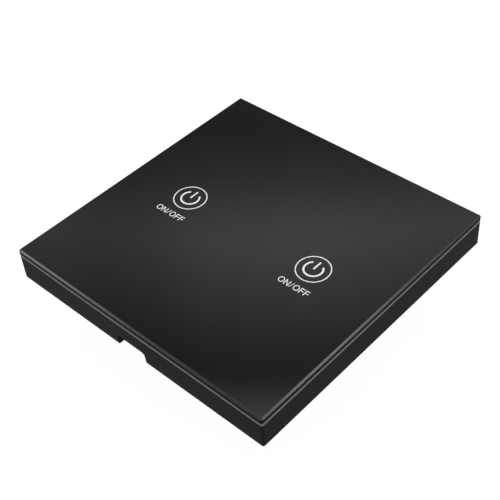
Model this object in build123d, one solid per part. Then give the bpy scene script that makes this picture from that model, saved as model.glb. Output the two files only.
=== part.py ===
from build123d import *
import math
import os

# Two-gang touch light switch: a square glass face on a plastic frame, clipped over an in-wall module.
# Millimetres. +Z points out of the wall, +Y is up as the text reads, and z = 0 is the wall's surface.
# The origin is midway between the two fixing slots, on the rear face of the mounting plate.

# Face: glass, its back print and the frame under it
face_side = 86.0
face_corner_radius = 0.6
glass_thickness = 1.6
glass_bevel = 0.45
print_thickness = 0.1
print_inset = 0.12
frame_height = 8.3
frame_wall = 2.0
frame_top_chamfer = 0.6
frame_bottom_radius = 0.25
ledge_width = 7.0
ledge_thickness = 1.6
tape_thickness = 0.3
tape_width = 4.2
tape_inset = 1.4
tape_clearance = 0.1

# Ribs that stiffen the frame's wall below its ledge
rib_thickness = 1.0
rib_reach = 2.0
rib_height = 3.4
rib_spacing = 20.0

# Notch in the lower side of the frame, for a screwdriver that prises the panel off
notch_width = 9.5
notch_height = 3.2
notch_offset = -0.65
notch_lean = 0.4
notch_corner_radius = 1.0

# Symbols printed on the glass
symbol_spacing = 43.6
symbol_thickness = 0.04
ring_radius = 4.55
ring_line = 0.3
power_radius = 2.52
power_line = 0.51
power_gap_angle = 80
power_bar_width = 0.48
power_bar_low = 0.05
power_bar_high = 3.0
text_height = 1.9
text_line = 0.24
text_drop = 7.65
text_gap = 0.3
letter_width_shares = {"O": 0.9, "N": 0.76, "/": 0.42, "F": 0.63}
slash_line_share = 0.75
letter_bar_share = 0.5

# Mounting plate and the clips that grip the frame's legs
plate_thickness = 1.2
plate_margin = 1.0
plate_corner_radius = 3.0
slot_edge = 8.35
slot_length = 8.0
slot_width = 4.4
clip_inset = 10.0
leg_width = 9.0
leg_thickness = 1.2
leg_floor_gap = 0.8
clip_width = 7.0
clip_leaf = 0.3
clip_height = 3.8

# Wall module: the housing behind the plate, with a screw into a post at each corner
housing_wall = 1.8
housing_corner_radius = 1.5
housing_edge_radius = 0.8
post_side = 4.4
seat_margin = 0.8
sheet_thickness = 0.3
sheet_clearance = 0.3
screw_radius = 1.1
screw_length = 8.0
screw_head_radius = 2.3
screw_head_height = 1.5
screw_tip_gap = 0.2
screw_hole_clearance = 0.2
thread_clearance = 0.05
cross_width = 0.5
cross_length = 2.6
cross_depth = 0.7

# Touch board on its tray, with its springs and lights
tray_thickness = 1.2
tray_inset = 0.5
board_thickness = 1.0
board_edge = 0.3
board_screw_gap = 1.0
board_screw_inset = 4.3
standoff_height = 1.0
standoff_radius = 2.6
board_screw_radius = 1.0
board_screw_head_radius = 1.8
board_screw_head_height = 1.2
pad_side = 3.0
spring_radius = 3.2
spring_wire = 0.5
spring_turns = 2
spring_tip_gap = 0.15
led_length = 1.6
led_width = 1.2
led_height = 0.8
guide_radius = 2.0
guide_gap = 0.25
guide_pocket_clearance = 0.2
chip_length = 9.9
chip_width = 3.9
chip_height = 1.4
chip_pins = 8
chip_pin_pitch = 1.27
chip_pin_width = 0.42
chip_pin_reach = 1.0
chip_pin_thickness = 0.2
small_part_length = 2.0
small_part_width = 1.25
small_part_height = 0.7
small_part_columns = 5
small_part_pitch = 4.6
small_part_gap = 1.5

# Plug between the touch board and the power board
pin_count = 5
pin_pitch = 2.0
pin_side = 0.6
pin_clearance = 0.1
pin_end_gap = 1.4
header_width = 2.4
header_base_height = 1.6
header_gap = 1.2
header_clearance = 0.5

# Power board and the supply's parts
power_board_thickness = 1.6
power_board_clearance = 0.3
front_part_gap = 0.6
part_gap = 0.8
transformer_width = 11.6
transformer_length = 13.0
transformer_height = 11.0
core_depth = 4.6
core_yoke = 1.7
core_leg_share = 0.293
core_side_leg_share = 0.138
bobbin_wall = 0.5
bobbin_base = 1.2
winding_clearance = 0.15
row_gap = 1.2
film_width = 13.0
film_depth = 6.0
film_height = 11.0
film_corner_radius = 0.8
film_edge_radius = 0.4
can_radius = 4.0
can_height = 11.5
can_edge_radius = 0.6
varistor_radius = 3.8
varistor_depth = 3.4
varistor_lead = 0.6
varistor_lead_length = 2.0
varistor_lead_spacing = 5.0
fuse_radius = 4.1
fuse_height = 8.0
rectifier_length = 8.4
rectifier_width = 6.4
rectifier_height = 2.2
rectifier_place = -9.0
regulator_radius = 2.3
regulator_height = 2.3
regulator_place = 9.0
regulator_flat_share = 0.35

# Relays: the armature tips on its yoke by contact_angle degrees
relay_base = 1.5
relay_side_gap = 2.4
relay_headroom = 0.3
relay_case_wall = 0.8
relay_case_clearance = 0.1
relay_case_radius = 0.5
relay_floor_gap = 2.0
yoke_thickness = 1.0
yoke_overhang = 0.3
yoke_edge_gap = 1.0
magnet_height = 9.4
pole_radius = 1.7
coil_build = 1.35
coil_inset = 0.5
bobbin_flange = 0.7
bobbin_tube = 0.6
armature_thickness = 1.0
armature_gap = 0.1
armature_inset = 0.2
contact_angle = 4.0
leaf_thickness = 0.3
leaf_width = 4.0
leaf_root = 2.0
contact_radius = 1.2
contact_height = 0.6
contact_post = 1.0
contact_post_width = 3.0
contact_edge_gap = 1.2
contact_reach = 4.4
contact_gap = 0.05

# Terminals: a screw turns in the block and draws a cage towards its head
terminal_pitch = 9.5
terminal_count = 3
terminal_radius = 1.5
thread_pitch = 0.5
terminal_head_radius = 2.6
terminal_head_height = 1.8
terminal_head_recess = 0.5
terminal_head_clearance = 0.3
terminal_slot_width = 0.7
terminal_slot_depth = 0.9
terminal_collar = 1.5
terminal_travel = 2.5
terminal_running_clearance = 0.08
terminal_tip_gap = 0.4
cage_width = 6.4
cage_depth = 6.0
cage_wall = 0.9
cage_top = 1.6
cage_bottom = 1.2
cage_clearance = 0.2
cage_tip_room = 1.7
bar_thickness = 0.8
bar_width = 3.4
bar_clearance = 0.1
bar_end_gap = 1.6
bar_board_reach = 0.4
wire_room = 2.8
wire_hole_radius = 1.9
block_wall = 1.4

# How far a cutting body runs past what it cuts
overrun = 1.0

# Heights of the face, from the wall outwards
print_bottom = frame_height
glass_bottom = print_bottom + print_thickness
face_top = glass_bottom + glass_thickness
ledge_bottom = frame_height - ledge_thickness
tape_bottom = frame_height - tape_thickness

# Heights of the module, from the plate outwards
tray_top = plate_thickness + tray_thickness
board_bottom = tray_top + standoff_height
board_top = board_bottom + board_thickness
spring_top = frame_height - spring_tip_gap

# Heights behind the plate: the parts on the power board's front set where it lies
power_board_top = -sheet_thickness - front_part_gap - max(rectifier_height, regulator_height)
power_board_bottom = power_board_top - power_board_thickness
socket_bottom = power_board_top + header_base_height
pin_top = board_bottom - pin_end_gap

# Relay, as depths below the power board and lengths from the outside of its case
bobbin_half = pole_radius + thread_clearance + bobbin_tube + coil_build + coil_inset
magnet_length = yoke_thickness + 2 * (bobbin_half + relay_case_clearance)
yoke_width = 2 * (bobbin_half + yoke_overhang)
armature_width = 2 * (bobbin_half - armature_inset)
magnet_far = relay_base + yoke_thickness + magnet_height
pivot_depth = magnet_far + armature_gap
leaf_depth = pivot_depth + armature_thickness
contact_far = leaf_depth - contact_height
yoke_inset = relay_case_wall + yoke_edge_gap
contact_inset = contact_radius + contact_edge_gap + relay_case_wall
leaf_reach = magnet_length + contact_reach + contact_radius - yoke_thickness / 2
leaf_drop = leaf_reach * math.sin(math.radians(contact_angle))
relay_width = yoke_width + 2 * (relay_side_gap + relay_case_wall)
relay_length = yoke_inset + magnet_length + contact_reach + contact_inset
relay_height = leaf_depth + leaf_thickness + leaf_drop + relay_headroom + relay_case_wall

# Depth of the housing: room for the relays, or for a terminal if that is longer
cage_inner = wire_room + bar_thickness + terminal_tip_gap + cage_tip_room
cage_height = cage_top + cage_inner + cage_bottom
terminal_height = (
    terminal_head_recess
    + terminal_head_height
    + terminal_collar
    + cage_clearance
    + terminal_travel
    + cage_height
    + cage_clearance
    + block_wall
)
housing_depth = -power_board_bottom + max(
    relay_height + relay_floor_gap + housing_wall, terminal_height
)
housing_floor = housing_wall - housing_depth

# Width of the housing: a transformer with a relay on each side
inner_half = transformer_width / 2 + relay_width + 2 * part_gap
housing_half = inner_half + housing_wall
relay_place = transformer_width / 2 + part_gap + relay_width / 2

# Legs of the transformer's core
core_leg = core_leg_share * transformer_width
core_side_leg = core_side_leg_share * transformer_width

# Screws, clips and slots that hold the module, the frame and the plate
screw_place = inner_half - post_side / 2
leg_place = face_side / 2 - ledge_width + leg_thickness / 2
leg_bottom = plate_thickness + clip_leaf + leg_floor_gap
clip_place = face_side / 2 - frame_wall - clip_inset
plate_side = 2 * (leg_place + leg_thickness / 2 + clip_leaf + plate_margin)
slot_place = plate_side / 2 - slot_edge

# Touch board and plug
board_half_x = symbol_spacing / 2 + spring_radius + spring_wire / 2 + board_edge
board_half_y = screw_place - screw_head_radius - board_screw_gap
board_screw_place = board_half_y - board_screw_inset
header_place = board_screw_place - standoff_radius - header_gap - header_width / 2
small_part_place = chip_length / 2 + small_part_gap + small_part_width / 2

# Terminals, from the housing's rear face inwards
head_bottom = terminal_head_recess - housing_depth
head_top = head_bottom + terminal_head_height
collar_top = head_top + terminal_collar
cage_low = collar_top + cage_clearance + terminal_travel
cage_roof = cage_low + cage_top
terminal_tip = cage_roof + cage_tip_room
bar_bottom = terminal_tip + terminal_tip_gap
bar_top = bar_bottom + bar_thickness
cage_floor = bar_top + wire_room
cage_high = cage_floor + cage_bottom
wire_place = bar_top + wire_room / 2
cage_front = -inner_half + cage_clearance
cage_back = cage_front + cage_depth
cage_middle = (cage_front + cage_back) / 2
block_back = cage_back + cage_clearance + block_wall
chamber_half = cage_width / 2 + cage_clearance
block_half = terminal_pitch * (terminal_count - 1) / 2 + chamber_half + block_wall
terminal_places = [
    terminal_pitch * (index - (terminal_count - 1) / 2) for index in range(terminal_count)
]
relay_front = block_back + bar_thickness + part_gap
relay_middle = relay_front + relay_length / 2
yoke_back = relay_front + yoke_inset
contact_place = relay_front + relay_length - contact_inset
pole_place = yoke_back + yoke_thickness + (magnet_length - yoke_thickness) / 2
symbol_places = (-symbol_spacing / 2, symbol_spacing / 2)
sides = (-1, 1)


def span(middle, width):
    """The two limits of a width about its middle."""
    return middle - width / 2, middle + width / 2


def block(x, y, z):
    """A solid box between two limits along each axis."""
    sizes = [high - low for low, high in (x, y, z)]
    middles = [(high + low) / 2 for low, high in (x, y, z)]
    return Pos(*middles) * Box(*sizes)


def post(radius, place, z):
    """An upright cylinder at a place in plan, between two heights."""
    low, high = z
    return Pos(place[0], place[1], (low + high) / 2) * Cylinder(radius, high - low)


def plate(width, height, radius, z):
    """A flat plate about the Z axis, with rounded corners in plan."""
    low, high = z
    return Pos(0, 0, low) * extrude(RectangleRounded(width, height, radius), amount=high - low)


def grid(spacing_x, spacing_y):
    """The four corners of a rectangle about the origin."""
    return [(x * spacing_x / 2, y * spacing_y / 2) for x in sides for y in sides]


def group(solids):
    """Separate solids that share one node."""
    return Compound(children=solids)


def pan_screw(place, radius, head_radius, head_height, z):
    """A screw with its head on top, above z[1], and a cross recess in the head."""
    tip, seat = z
    top = seat + head_height
    screw = post(radius, place, (tip, seat)) + post(head_radius, place, (seat, top))
    recess = (top - cross_depth, top + overrun)
    x, y = place
    screw -= block(span(x, cross_width), span(y, cross_length), recess)
    screw -= block(span(x, cross_length), span(y, cross_width), recess)
    return screw


# Face


def glass_panel():
    """Glass plate with a bevel round its top edge."""
    glass = plate(face_side, face_side, face_corner_radius, (glass_bottom, face_top))
    return chamfer(glass.faces().sort_by(Axis.Z)[-1].edges(), glass_bevel)


def glass_back_print():
    """Black ink over the back of the glass."""
    side = face_side - 2 * print_inset
    return plate(side, side, face_corner_radius, (print_bottom, glass_bottom))


def square_ring(outer_half, width, z):
    """A square ring of a given width, seen in plan."""
    outer = span(0, 2 * outer_half)
    inner = span(0, 2 * (outer_half - width))
    low, high = z
    return block(outer, outer, z) - block(inner, inner, (low - overrun, high + overrun))


def panel_tape():
    """Double-sided tape between the frame's ledge and the glass."""
    return square_ring(face_side / 2 - tape_inset, tape_width, (tape_bottom, frame_height))


def notch_cut():
    """The notch's outline, one jamb upright and one leaning, run through the frame's wall."""
    left, right = span(notch_offset, notch_width)
    outline = Polyline(
        (left, -overrun),
        (left, notch_height),
        (right, notch_height),
        (right + notch_lean, 0),
        (right + notch_lean, -overrun),
        close=True,
    )
    face = make_face(outline)
    top_right = face.vertices().sort_by(Axis.Y)[-2:].sort_by(Axis.X)[-1]
    face = fillet(top_right, notch_corner_radius)
    depth = frame_wall + 2 * overrun
    return Pos(0, -face_side / 2 - overrun, 0) * extrude(Plane.XZ * face, amount=-depth)


def panel_frame():
    """Plastic frame: a square wall with a ledge for the glass, ribs and four clip legs."""
    frame = plate(face_side, face_side, face_corner_radius, (0, frame_height))
    frame = chamfer(frame.faces().sort_by(Axis.Z)[-1].edges(), frame_top_chamfer)
    frame = fillet(frame.faces().sort_by(Axis.Z)[0].edges(), frame_bottom_radius)
    inside = span(0, face_side - 2 * frame_wall)
    opening = span(0, face_side - 2 * ledge_width)
    frame -= block(inside, inside, (-overrun, ledge_bottom))
    frame -= block(opening, opening, (0, frame_height + overrun))
    recess_half = face_side / 2 - tape_inset + tape_clearance
    recess_width = tape_width + 2 * tape_clearance
    frame -= square_ring(recess_half, recess_width, (tape_bottom, frame_height + overrun))
    frame -= notch_cut()
    inner_face = face_side / 2 - frame_wall
    rib_z = (ledge_bottom - rib_height, ledge_bottom)
    for side in sides:
        reach = sorted((side * (inner_face - rib_reach), side * inner_face))
        for place in (-rib_spacing / 2, rib_spacing / 2):
            frame += block(reach, span(place, rib_thickness), rib_z)
            frame += block(span(place, rib_thickness), reach, rib_z)
    for x, y in grid(2 * clip_place, 2 * leg_place):
        frame += block(span(x, leg_width), span(y, leg_thickness), (leg_bottom, ledge_bottom))
    return frame


def letter(name):
    """One letter of the label, with its lower left corner at the origin."""
    width = letter_width_shares[name] * text_height
    line = text_line
    low_left = (Align.MIN, Align.MIN)
    if name == "O":
        shape = Ellipse(width / 2, text_height / 2)
        shape -= Ellipse(width / 2 - line, text_height / 2 - line)
        return Pos(width / 2, text_height / 2) * shape
    if name == "/":
        thin = line * slash_line_share
        corners = ((0, 0), (thin, 0), (width, text_height), (width - thin, text_height))
        return Polygon(*corners, align=None)
    stem = Rectangle(line, text_height, align=low_left)
    if name == "N":
        corners = ((0, text_height), (width - line, 0), (width, 0), (line, text_height))
        far_stem = Pos(width - line, 0) * Rectangle(line, text_height, align=low_left)
        return stem + far_stem + Polygon(*corners, align=None)
    bar = Rectangle(width, line, align=low_left)
    middle = Pos(0, (text_height - line) * letter_bar_share) * bar
    return stem + Pos(0, text_height - line) * bar + middle


def label():
    """The label's letters side by side, centred on the Y axis below the ring."""
    names = "ON/OFF"
    widths = [letter_width_shares[name] * text_height for name in names]
    x = -(sum(widths) + text_gap * (len(names) - 1)) / 2
    letters = []
    for name, width in zip(names, widths):
        letters.append(Pos(x, -text_drop - text_height / 2) * letter(name))
        x += width + text_gap
    return letters


def touch_symbol(x):
    """A ring, a power sign and a label, printed on the glass."""
    ring = Circle(ring_radius + ring_line / 2) - Circle(ring_radius - ring_line / 2)
    wedge_height = 2 * power_radius
    wedge_half = wedge_height * math.tan(math.radians(power_gap_angle / 2))
    wedge = Polygon((0, 0), (wedge_half, wedge_height), (-wedge_half, wedge_height), align=None)
    arc = Circle(power_radius + power_line / 2) - Circle(power_radius - power_line / 2) - wedge
    bar_middle = (power_bar_low + power_bar_high) / 2
    bar = Pos(0, bar_middle) * Rectangle(power_bar_width, power_bar_high - power_bar_low)
    shapes = [ring, arc, bar] + label()
    place = Pos(x, 0, face_top)
    return group([place * extrude(shape, amount=symbol_thickness) for shape in shapes])


# Plate, clips and housing


def corner_places():
    """The screws that hold the housing, one near each of its corners."""
    return grid(2 * screw_place, 2 * screw_place)


def header_window(z):
    """The opening that the plug passes through."""
    length = pin_count * pin_pitch + 2 * header_clearance
    return block(span(0, length), span(header_place, header_width + 2 * header_clearance), z)


def mounting_plate():
    """Steel plate with two fixing slots, an opening for the plug and holes for the screws."""
    cut = (-overrun, plate_thickness + overrun)
    shape = plate(plate_side, plate_side, plate_corner_radius, (0, plate_thickness))
    slot = extrude(SlotOverall(slot_length, slot_width), amount=cut[1] - cut[0])
    for side in sides:
        shape -= Pos(side * slot_place, 0, cut[0]) * slot
    for place in corner_places():
        shape -= post(screw_radius + screw_hole_clearance, place, cut)
    for place in board_screw_places():
        shape -= post(board_screw_radius + thread_clearance, place, cut)
    return shape - header_window(cut)


def insulating_sheet():
    """Thin sheet behind the plate, inside the housing and clear of its posts."""
    side = 2 * (inner_half - sheet_clearance)
    z = (-sheet_thickness, 0)
    cut = (-sheet_thickness - overrun, overrun)
    sheet = block(span(0, side), span(0, side), z) - header_window(cut)
    for place in corner_places():
        x, y = [span(middle, post_side + 2 * sheet_clearance) for middle in place]
        sheet -= block(x, y, cut)
    return sheet


def panel_clips():
    """Four U-shaped leaf clips on the plate, each with a leg of the frame between its leaves."""
    clips = []
    foot_z = (plate_thickness, plate_thickness + clip_leaf)
    leaf_z = (plate_thickness, plate_thickness + clip_height)
    for x, y in grid(2 * clip_place, 2 * leg_place):
        wide = span(x, clip_width)
        clip = block(wide, span(y, leg_thickness + 2 * clip_leaf), foot_z)
        for side in sides:
            leaf = span(y + side * (leg_thickness + clip_leaf) / 2, clip_leaf)
            clip += block(wide, leaf, leaf_z)
        clips.append(clip)
    return group(clips)


def rear_housing():
    """Tub with a post in each corner, wire holes and holes for the terminals' screws."""
    side = 2 * housing_half
    tub = plate(side, side, housing_corner_radius, (-housing_depth, 0))
    tub = fillet(tub.faces().sort_by(Axis.Z)[0].edges(), housing_edge_radius)
    inside = span(0, 2 * inner_half)
    tub -= block(inside, inside, (housing_floor, overrun))
    seat_side = post_side + seat_margin
    seat_place = 2 * inner_half - seat_side
    for place in grid(seat_place, seat_place):
        x, y = [span(middle, seat_side) for middle in place]
        tub += block(x, y, (housing_floor, power_board_bottom))
    for place in corner_places():
        x, y = [span(middle, post_side) for middle in place]
        tub += block(x, y, (housing_floor, 0))
    for place in corner_places():
        tub -= post(screw_radius + thread_clearance, place, (-screw_length, overrun))
    head_hole = terminal_head_radius + terminal_head_clearance
    for x in terminal_places:
        tub -= wire_hole(x)
        tub -= post(head_hole, (x, cage_middle), (-housing_depth - overrun, housing_floor))
    return tub


def wire_hole(x):
    """A round hole through the housing's lower wall, for one wire."""
    length = housing_wall + 2 * overrun
    middle = -inner_half - housing_wall / 2
    return Pos(x, middle, wire_place) * Rot(90, 0, 0) * Cylinder(wire_hole_radius, length)


def housing_screws():
    """Four screws through the plate into the housing's posts."""
    z = (screw_tip_gap - screw_length, plate_thickness)
    return group(
        [
            pan_screw(place, screw_radius, screw_head_radius, screw_head_height, z)
            for place in corner_places()
        ]
    )


# Touch board


def board_tray():
    """Plastic tray on the plate, with seats that hold the touch board off it."""
    wide = span(0, 2 * (board_half_x - tray_inset))
    high = span(0, 2 * (board_half_y - tray_inset))
    cut = (plate_thickness - overrun, board_bottom + overrun)
    tray = block(wide, high, (plate_thickness, tray_top))
    for place in board_screw_places():
        tray += post(standoff_radius, place, (tray_top, board_bottom))
        tray -= post(board_screw_radius + screw_hole_clearance, place, cut)
    for place in grid(wide[1] - wide[0] - pad_side, high[1] - high[0] - pad_side):
        x, y = [span(middle, pad_side) for middle in place]
        tray += block(x, y, (tray_top, board_bottom))
    return tray - header_window(cut)


def board_screw_places():
    """The touch board's two screws, above and below its middle."""
    return [(0, side * board_screw_place) for side in sides]


def touch_board():
    """Board under the glass, wide enough to carry both springs."""
    wide = span(0, 2 * board_half_x)
    board = block(wide, span(0, 2 * board_half_y), (board_bottom, board_top))
    for place in board_screw_places():
        hole = board_screw_radius + screw_hole_clearance
        board -= post(hole, place, (board_bottom - overrun, board_top + overrun))
    return board


def board_screws():
    """Two screws that hold the touch board and its tray on the plate."""
    z = (screw_tip_gap, board_top)
    return group(
        [
            pan_screw(p, board_screw_radius, board_screw_head_radius, board_screw_head_height, z)
            for p in board_screw_places()
        ]
    )


def biarc(start, start_way, end, end_way):
    """Two tangent arcs from one point and direction to another."""
    gap = end - start
    both = start_way + end_way
    square = 2 * (start_way.dot(end_way) - 1)
    slope = -2 * gap.dot(both)
    root = math.sqrt(slope * slope - 4 * square * gap.dot(gap))
    reach = (-slope - root) / (2 * square)
    middle_way = ((end - end_way * reach) - (start + start_way * reach)).normalized()
    middle = start + (start_way * reach + gap - end_way * reach) * 0.5
    first = TangentArc(start, middle, tangent=start_way)
    return [first, TangentArc(middle, end, tangent=middle_way)]


def helix_state(turn, radius, pitch):
    """Point and direction of a helix after so many turns."""
    angle = 2 * math.pi * turn
    point = Vector(radius * math.cos(angle), radius * math.sin(angle), pitch * turn)
    way = Vector(-radius * math.sin(angle), radius * math.cos(angle), pitch / (2 * math.pi))
    return point, way.normalized()


def touch_spring(x):
    """Coil spring that stands on the board and reaches up to the back of the glass."""
    rise = spring_top - board_top - spring_wire
    pitch = rise / spring_turns
    print(f"touch spring: least gap between turns {pitch - spring_wire:.3f} mm")
    edges = []
    for quarter in range(4 * spring_turns):
        start, start_way = helix_state(quarter / 4, spring_radius, pitch)
        end, end_way = helix_state((quarter + 1) / 4, spring_radius, pitch)
        edges += biarc(start, start_way, end, end_way)
    path = Wire(edges)
    start, start_way = helix_state(0, spring_radius, pitch)
    section = Plane(origin=start, z_dir=start_way) * Circle(spring_wire / 2)
    return Pos(x, 0, board_top + spring_wire / 2) * sweep(section, path=path)


def indicator_leds():
    """One light under each symbol."""
    z = (board_top, board_top + led_height)
    return group([block(span(x, led_length), span(0, led_width), z) for x in symbol_places])


def light_guides():
    """Clear cups that stand over the lights, inside the springs."""
    guides = []
    for x in symbol_places:
        cup = post(guide_radius, (x, 0), (board_top, frame_height - guide_gap))
        pocket_x = span(x, led_length + 2 * guide_pocket_clearance)
        pocket_y = span(0, led_width + 2 * guide_pocket_clearance)
        top = board_top + led_height + guide_pocket_clearance
        guides.append(cup - block(pocket_x, pocket_y, (board_top - overrun, top)))
    return group(guides)


def touch_chip():
    """Touch controller with a row of pins along each long side."""
    lift = chip_pin_thickness
    body_z = (board_top + lift / 2, board_top + lift / 2 + chip_height)
    chip = block(span(0, chip_width), span(0, chip_length), body_z)
    foot_z = (board_top, board_top + lift)
    shoulder_z = (board_top, board_top + lift / 2 + chip_height / 2)
    for index in range(chip_pins):
        y = span((index - (chip_pins - 1) / 2) * chip_pin_pitch, chip_pin_width)
        reach = chip_width / 2 + chip_pin_reach
        chip += block(span(0, 2 * reach), y, foot_z)
        for side in sides:
            near = chip_width / 2
            leg = sorted((side * near, side * (near + chip_pin_thickness)))
            chip += block(leg, y, shoulder_z)
    return chip


def touch_board_parts():
    """Small resistors and capacitors in two rows on the touch board."""
    z = (board_top, board_top + small_part_height)
    parts = []
    for row in sides:
        for column in range(small_part_columns):
            x = (column - (small_part_columns - 1) / 2) * small_part_pitch
            y = span(row * small_part_place, small_part_width)
            parts.append(block(span(x, small_part_length), y, z))
    return group(parts)


# Plug between the boards


def pin_places():
    """The plug's pins, in a row across the board."""
    return [(index - (pin_count - 1) / 2) * pin_pitch for index in range(pin_count)]


def pin_strip(z, holes):
    """A plastic strip along the row of pins, with holes for them between two heights."""
    strip = block(span(0, pin_count * pin_pitch), span(header_place, header_width), z)
    return strip - pin_holes(holes)


def pin_holes(z):
    """Square holes for the pins, between two heights."""
    hole = pin_side + 2 * pin_clearance
    return [block(span(x, hole), span(header_place, hole), z) for x in pin_places()]


def header_base():
    """Strip that holds the pins on the power board."""
    cut = (power_board_top - overrun, socket_bottom + overrun)
    return pin_strip((power_board_top, socket_bottom), cut)


def header_socket():
    """Socket under the touch board, with blind holes that take the pins."""
    holes = (socket_bottom - overrun, pin_top + pin_clearance)
    return pin_strip((socket_bottom, board_bottom), holes)


def header_pins():
    """Square pins, from the power board into the socket."""
    z = (power_board_bottom, pin_top)
    return group(
        [block(span(x, pin_side), span(header_place, pin_side), z) for x in pin_places()]
    )


# Power board and supply


def power_board():
    """Board that carries the relays, the supply and the terminals."""
    half = inner_half - power_board_clearance
    z = (power_board_bottom, power_board_top)
    cut = (power_board_bottom - overrun, power_board_top + overrun)
    board = block(span(0, 2 * half), span(0, 2 * half), z)
    for place in corner_places():
        x, y = [span(middle, post_side + 2 * power_board_clearance) for middle in place]
        board -= block(x, y, cut)
    bar_middle = block_back + bar_thickness / 2
    for x in terminal_places:
        slot_x = span(x, bar_width + 2 * bar_clearance)
        board -= block(slot_x, span(bar_middle, bar_thickness + 2 * bar_clearance), cut)
    return board - pin_holes(cut)


def core_limits():
    """The core's lower and upper faces, below the bobbin's base."""
    top = power_board_bottom - bobbin_base
    return top - transformer_height + bobbin_base, top


def core_window():
    """The heights between which the core is open."""
    low, high = core_limits()
    return low + core_yoke, high - core_yoke


def transformer_core():
    """Core with a middle leg and two side legs."""
    y = span(relay_middle, core_depth)
    core = block(span(0, transformer_width), y, core_limits())
    opening = transformer_width / 2 - core_side_leg - core_leg / 2
    window_y = span(relay_middle, core_depth + 2 * overrun)
    for side in sides:
        middle = side * (core_leg + opening) / 2
        core -= block(span(middle, opening), window_y, core_window())
    return core


def winding_half():
    """Half sizes in plan of the winding: as wide as the core's windows, and as thick all round."""
    across = transformer_width / 2 - core_side_leg - winding_clearance
    build = across - core_leg / 2 - bobbin_wall
    return across, core_depth / 2 + bobbin_wall + build


def transformer_winding():
    """Winding round the bobbin's tube, through the core's windows."""
    across, along = winding_half()
    low, high = core_window()
    z = (low + 2 * bobbin_wall, high - 2 * bobbin_wall)
    y = span(relay_middle, 2 * along)
    hole_x = span(0, core_leg + 2 * (bobbin_wall + winding_clearance))
    hole_y = span(relay_middle, core_depth + 2 * (bobbin_wall + winding_clearance))
    cut = (z[0] - overrun, z[1] + overrun)
    return block(span(0, 2 * across), y, z) - block(hole_x, hole_y, cut)


def transformer_bobbin():
    """Tube round the core's middle leg, a flange at each end and a base on the board."""
    across, along = winding_half()
    low, high = core_window()
    middle = relay_middle
    slack = winding_clearance / 2
    tube_x = span(0, core_leg + 2 * bobbin_wall)
    tube_y = span(middle, core_depth + 2 * bobbin_wall)
    bobbin = block(tube_x, tube_y, (low + slack, high - slack))
    for z in ((low + slack, low + bobbin_wall), (high - bobbin_wall, high - slack)):
        bobbin += block(span(0, 2 * across), span(middle, 2 * along), z)
    bobbin -= block(
        span(0, core_leg + winding_clearance),
        span(middle, core_depth + winding_clearance),
        (low - overrun, high + overrun),
    )
    base = (power_board_bottom - bobbin_base, power_board_bottom)
    base_y = span(middle, transformer_length)
    bobbin += block(span(0, transformer_width), base_y, base)
    for side in sides:
        leg_y = sorted((middle + side * (core_depth / 2 + slack), middle + side * along))
        leg = block(span(0, core_leg), leg_y, (high - bobbin_wall, power_board_bottom))
        bobbin += leg
    return bobbin


def row_places():
    """Middles along X of the parts in the row behind the relays."""
    widths = (film_width, 2 * can_radius, 2 * fuse_radius, 2 * varistor_radius)
    x = -(sum(widths) + row_gap * (len(widths) - 1)) / 2
    places = []
    for width in widths:
        places.append(x + width / 2)
        x += width + row_gap
    return places


def row_middle():
    """Middle along Y of the row behind the relays, clear of the housing's corner posts."""
    depth = max(film_depth, 2 * can_radius, 2 * fuse_radius, varistor_depth)
    return inner_half - post_side - seat_margin - part_gap - depth / 2


def film_capacitor():
    """Box-shaped capacitor across the supply."""
    z = (power_board_bottom - film_height, power_board_bottom)
    body = block(span(row_places()[0], film_width), span(row_middle(), film_depth), z)
    body = fillet(body.edges().filter_by(Axis.Z), film_corner_radius)
    return fillet(body.faces().sort_by(Axis.Z)[0].edges(), film_edge_radius)


def supply_capacitor():
    """Round can that smooths the supply."""
    z = (power_board_bottom - can_height, power_board_bottom)
    can = post(can_radius, (row_places()[1], row_middle()), z)
    return fillet(can.faces().sort_by(Axis.Z)[0].edges(), can_edge_radius)


def fuse():
    """Round fuse that stands on the board."""
    z = (power_board_bottom - fuse_height, power_board_bottom)
    return post(fuse_radius, (row_places()[2], row_middle()), z)


def varistor():
    """Coated disc on two leads."""
    x = row_places()[3]
    middle = power_board_bottom - varistor_lead_length - varistor_radius
    disc = Pos(x, row_middle(), middle) * Rot(90, 0, 0) * Cylinder(varistor_radius, varistor_depth)
    for side in sides:
        lead_x = span(x + side * varistor_lead_spacing / 2, varistor_lead)
        lead_y = span(row_middle(), varistor_lead)
        disc += block(lead_x, lead_y, (middle, power_board_bottom))
    return disc


def rectifier_bridge():
    """Flat rectifier on the board's front."""
    z = (power_board_top, power_board_top + rectifier_height)
    x = span(rectifier_place, rectifier_length)
    return block(x, span(0, rectifier_width), z)


def voltage_regulator():
    """Round-backed regulator on the board's front."""
    z = (power_board_top, power_board_top + regulator_height)
    body = post(regulator_radius, (regulator_place, 0), z)
    flat = regulator_radius * regulator_flat_share
    x = span(regulator_place, 2 * (regulator_radius + overrun))
    return body - block(x, (flat, regulator_radius + overrun), (z[0] - overrun, z[1] + overrun))


# Relays: their heights are measured downwards from the power board


def down(near, far):
    """Two heights, given as depths below the power board."""
    return power_board_bottom - far, power_board_bottom - near


def relay_base_plate(x):
    """Base of a relay, on the power board."""
    inner_x = relay_width - 2 * (relay_case_wall + relay_case_clearance)
    inner_y = relay_length - 2 * (relay_case_wall + relay_case_clearance)
    return block(span(x, inner_x), span(relay_middle, inner_y), down(0, relay_base))


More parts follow.
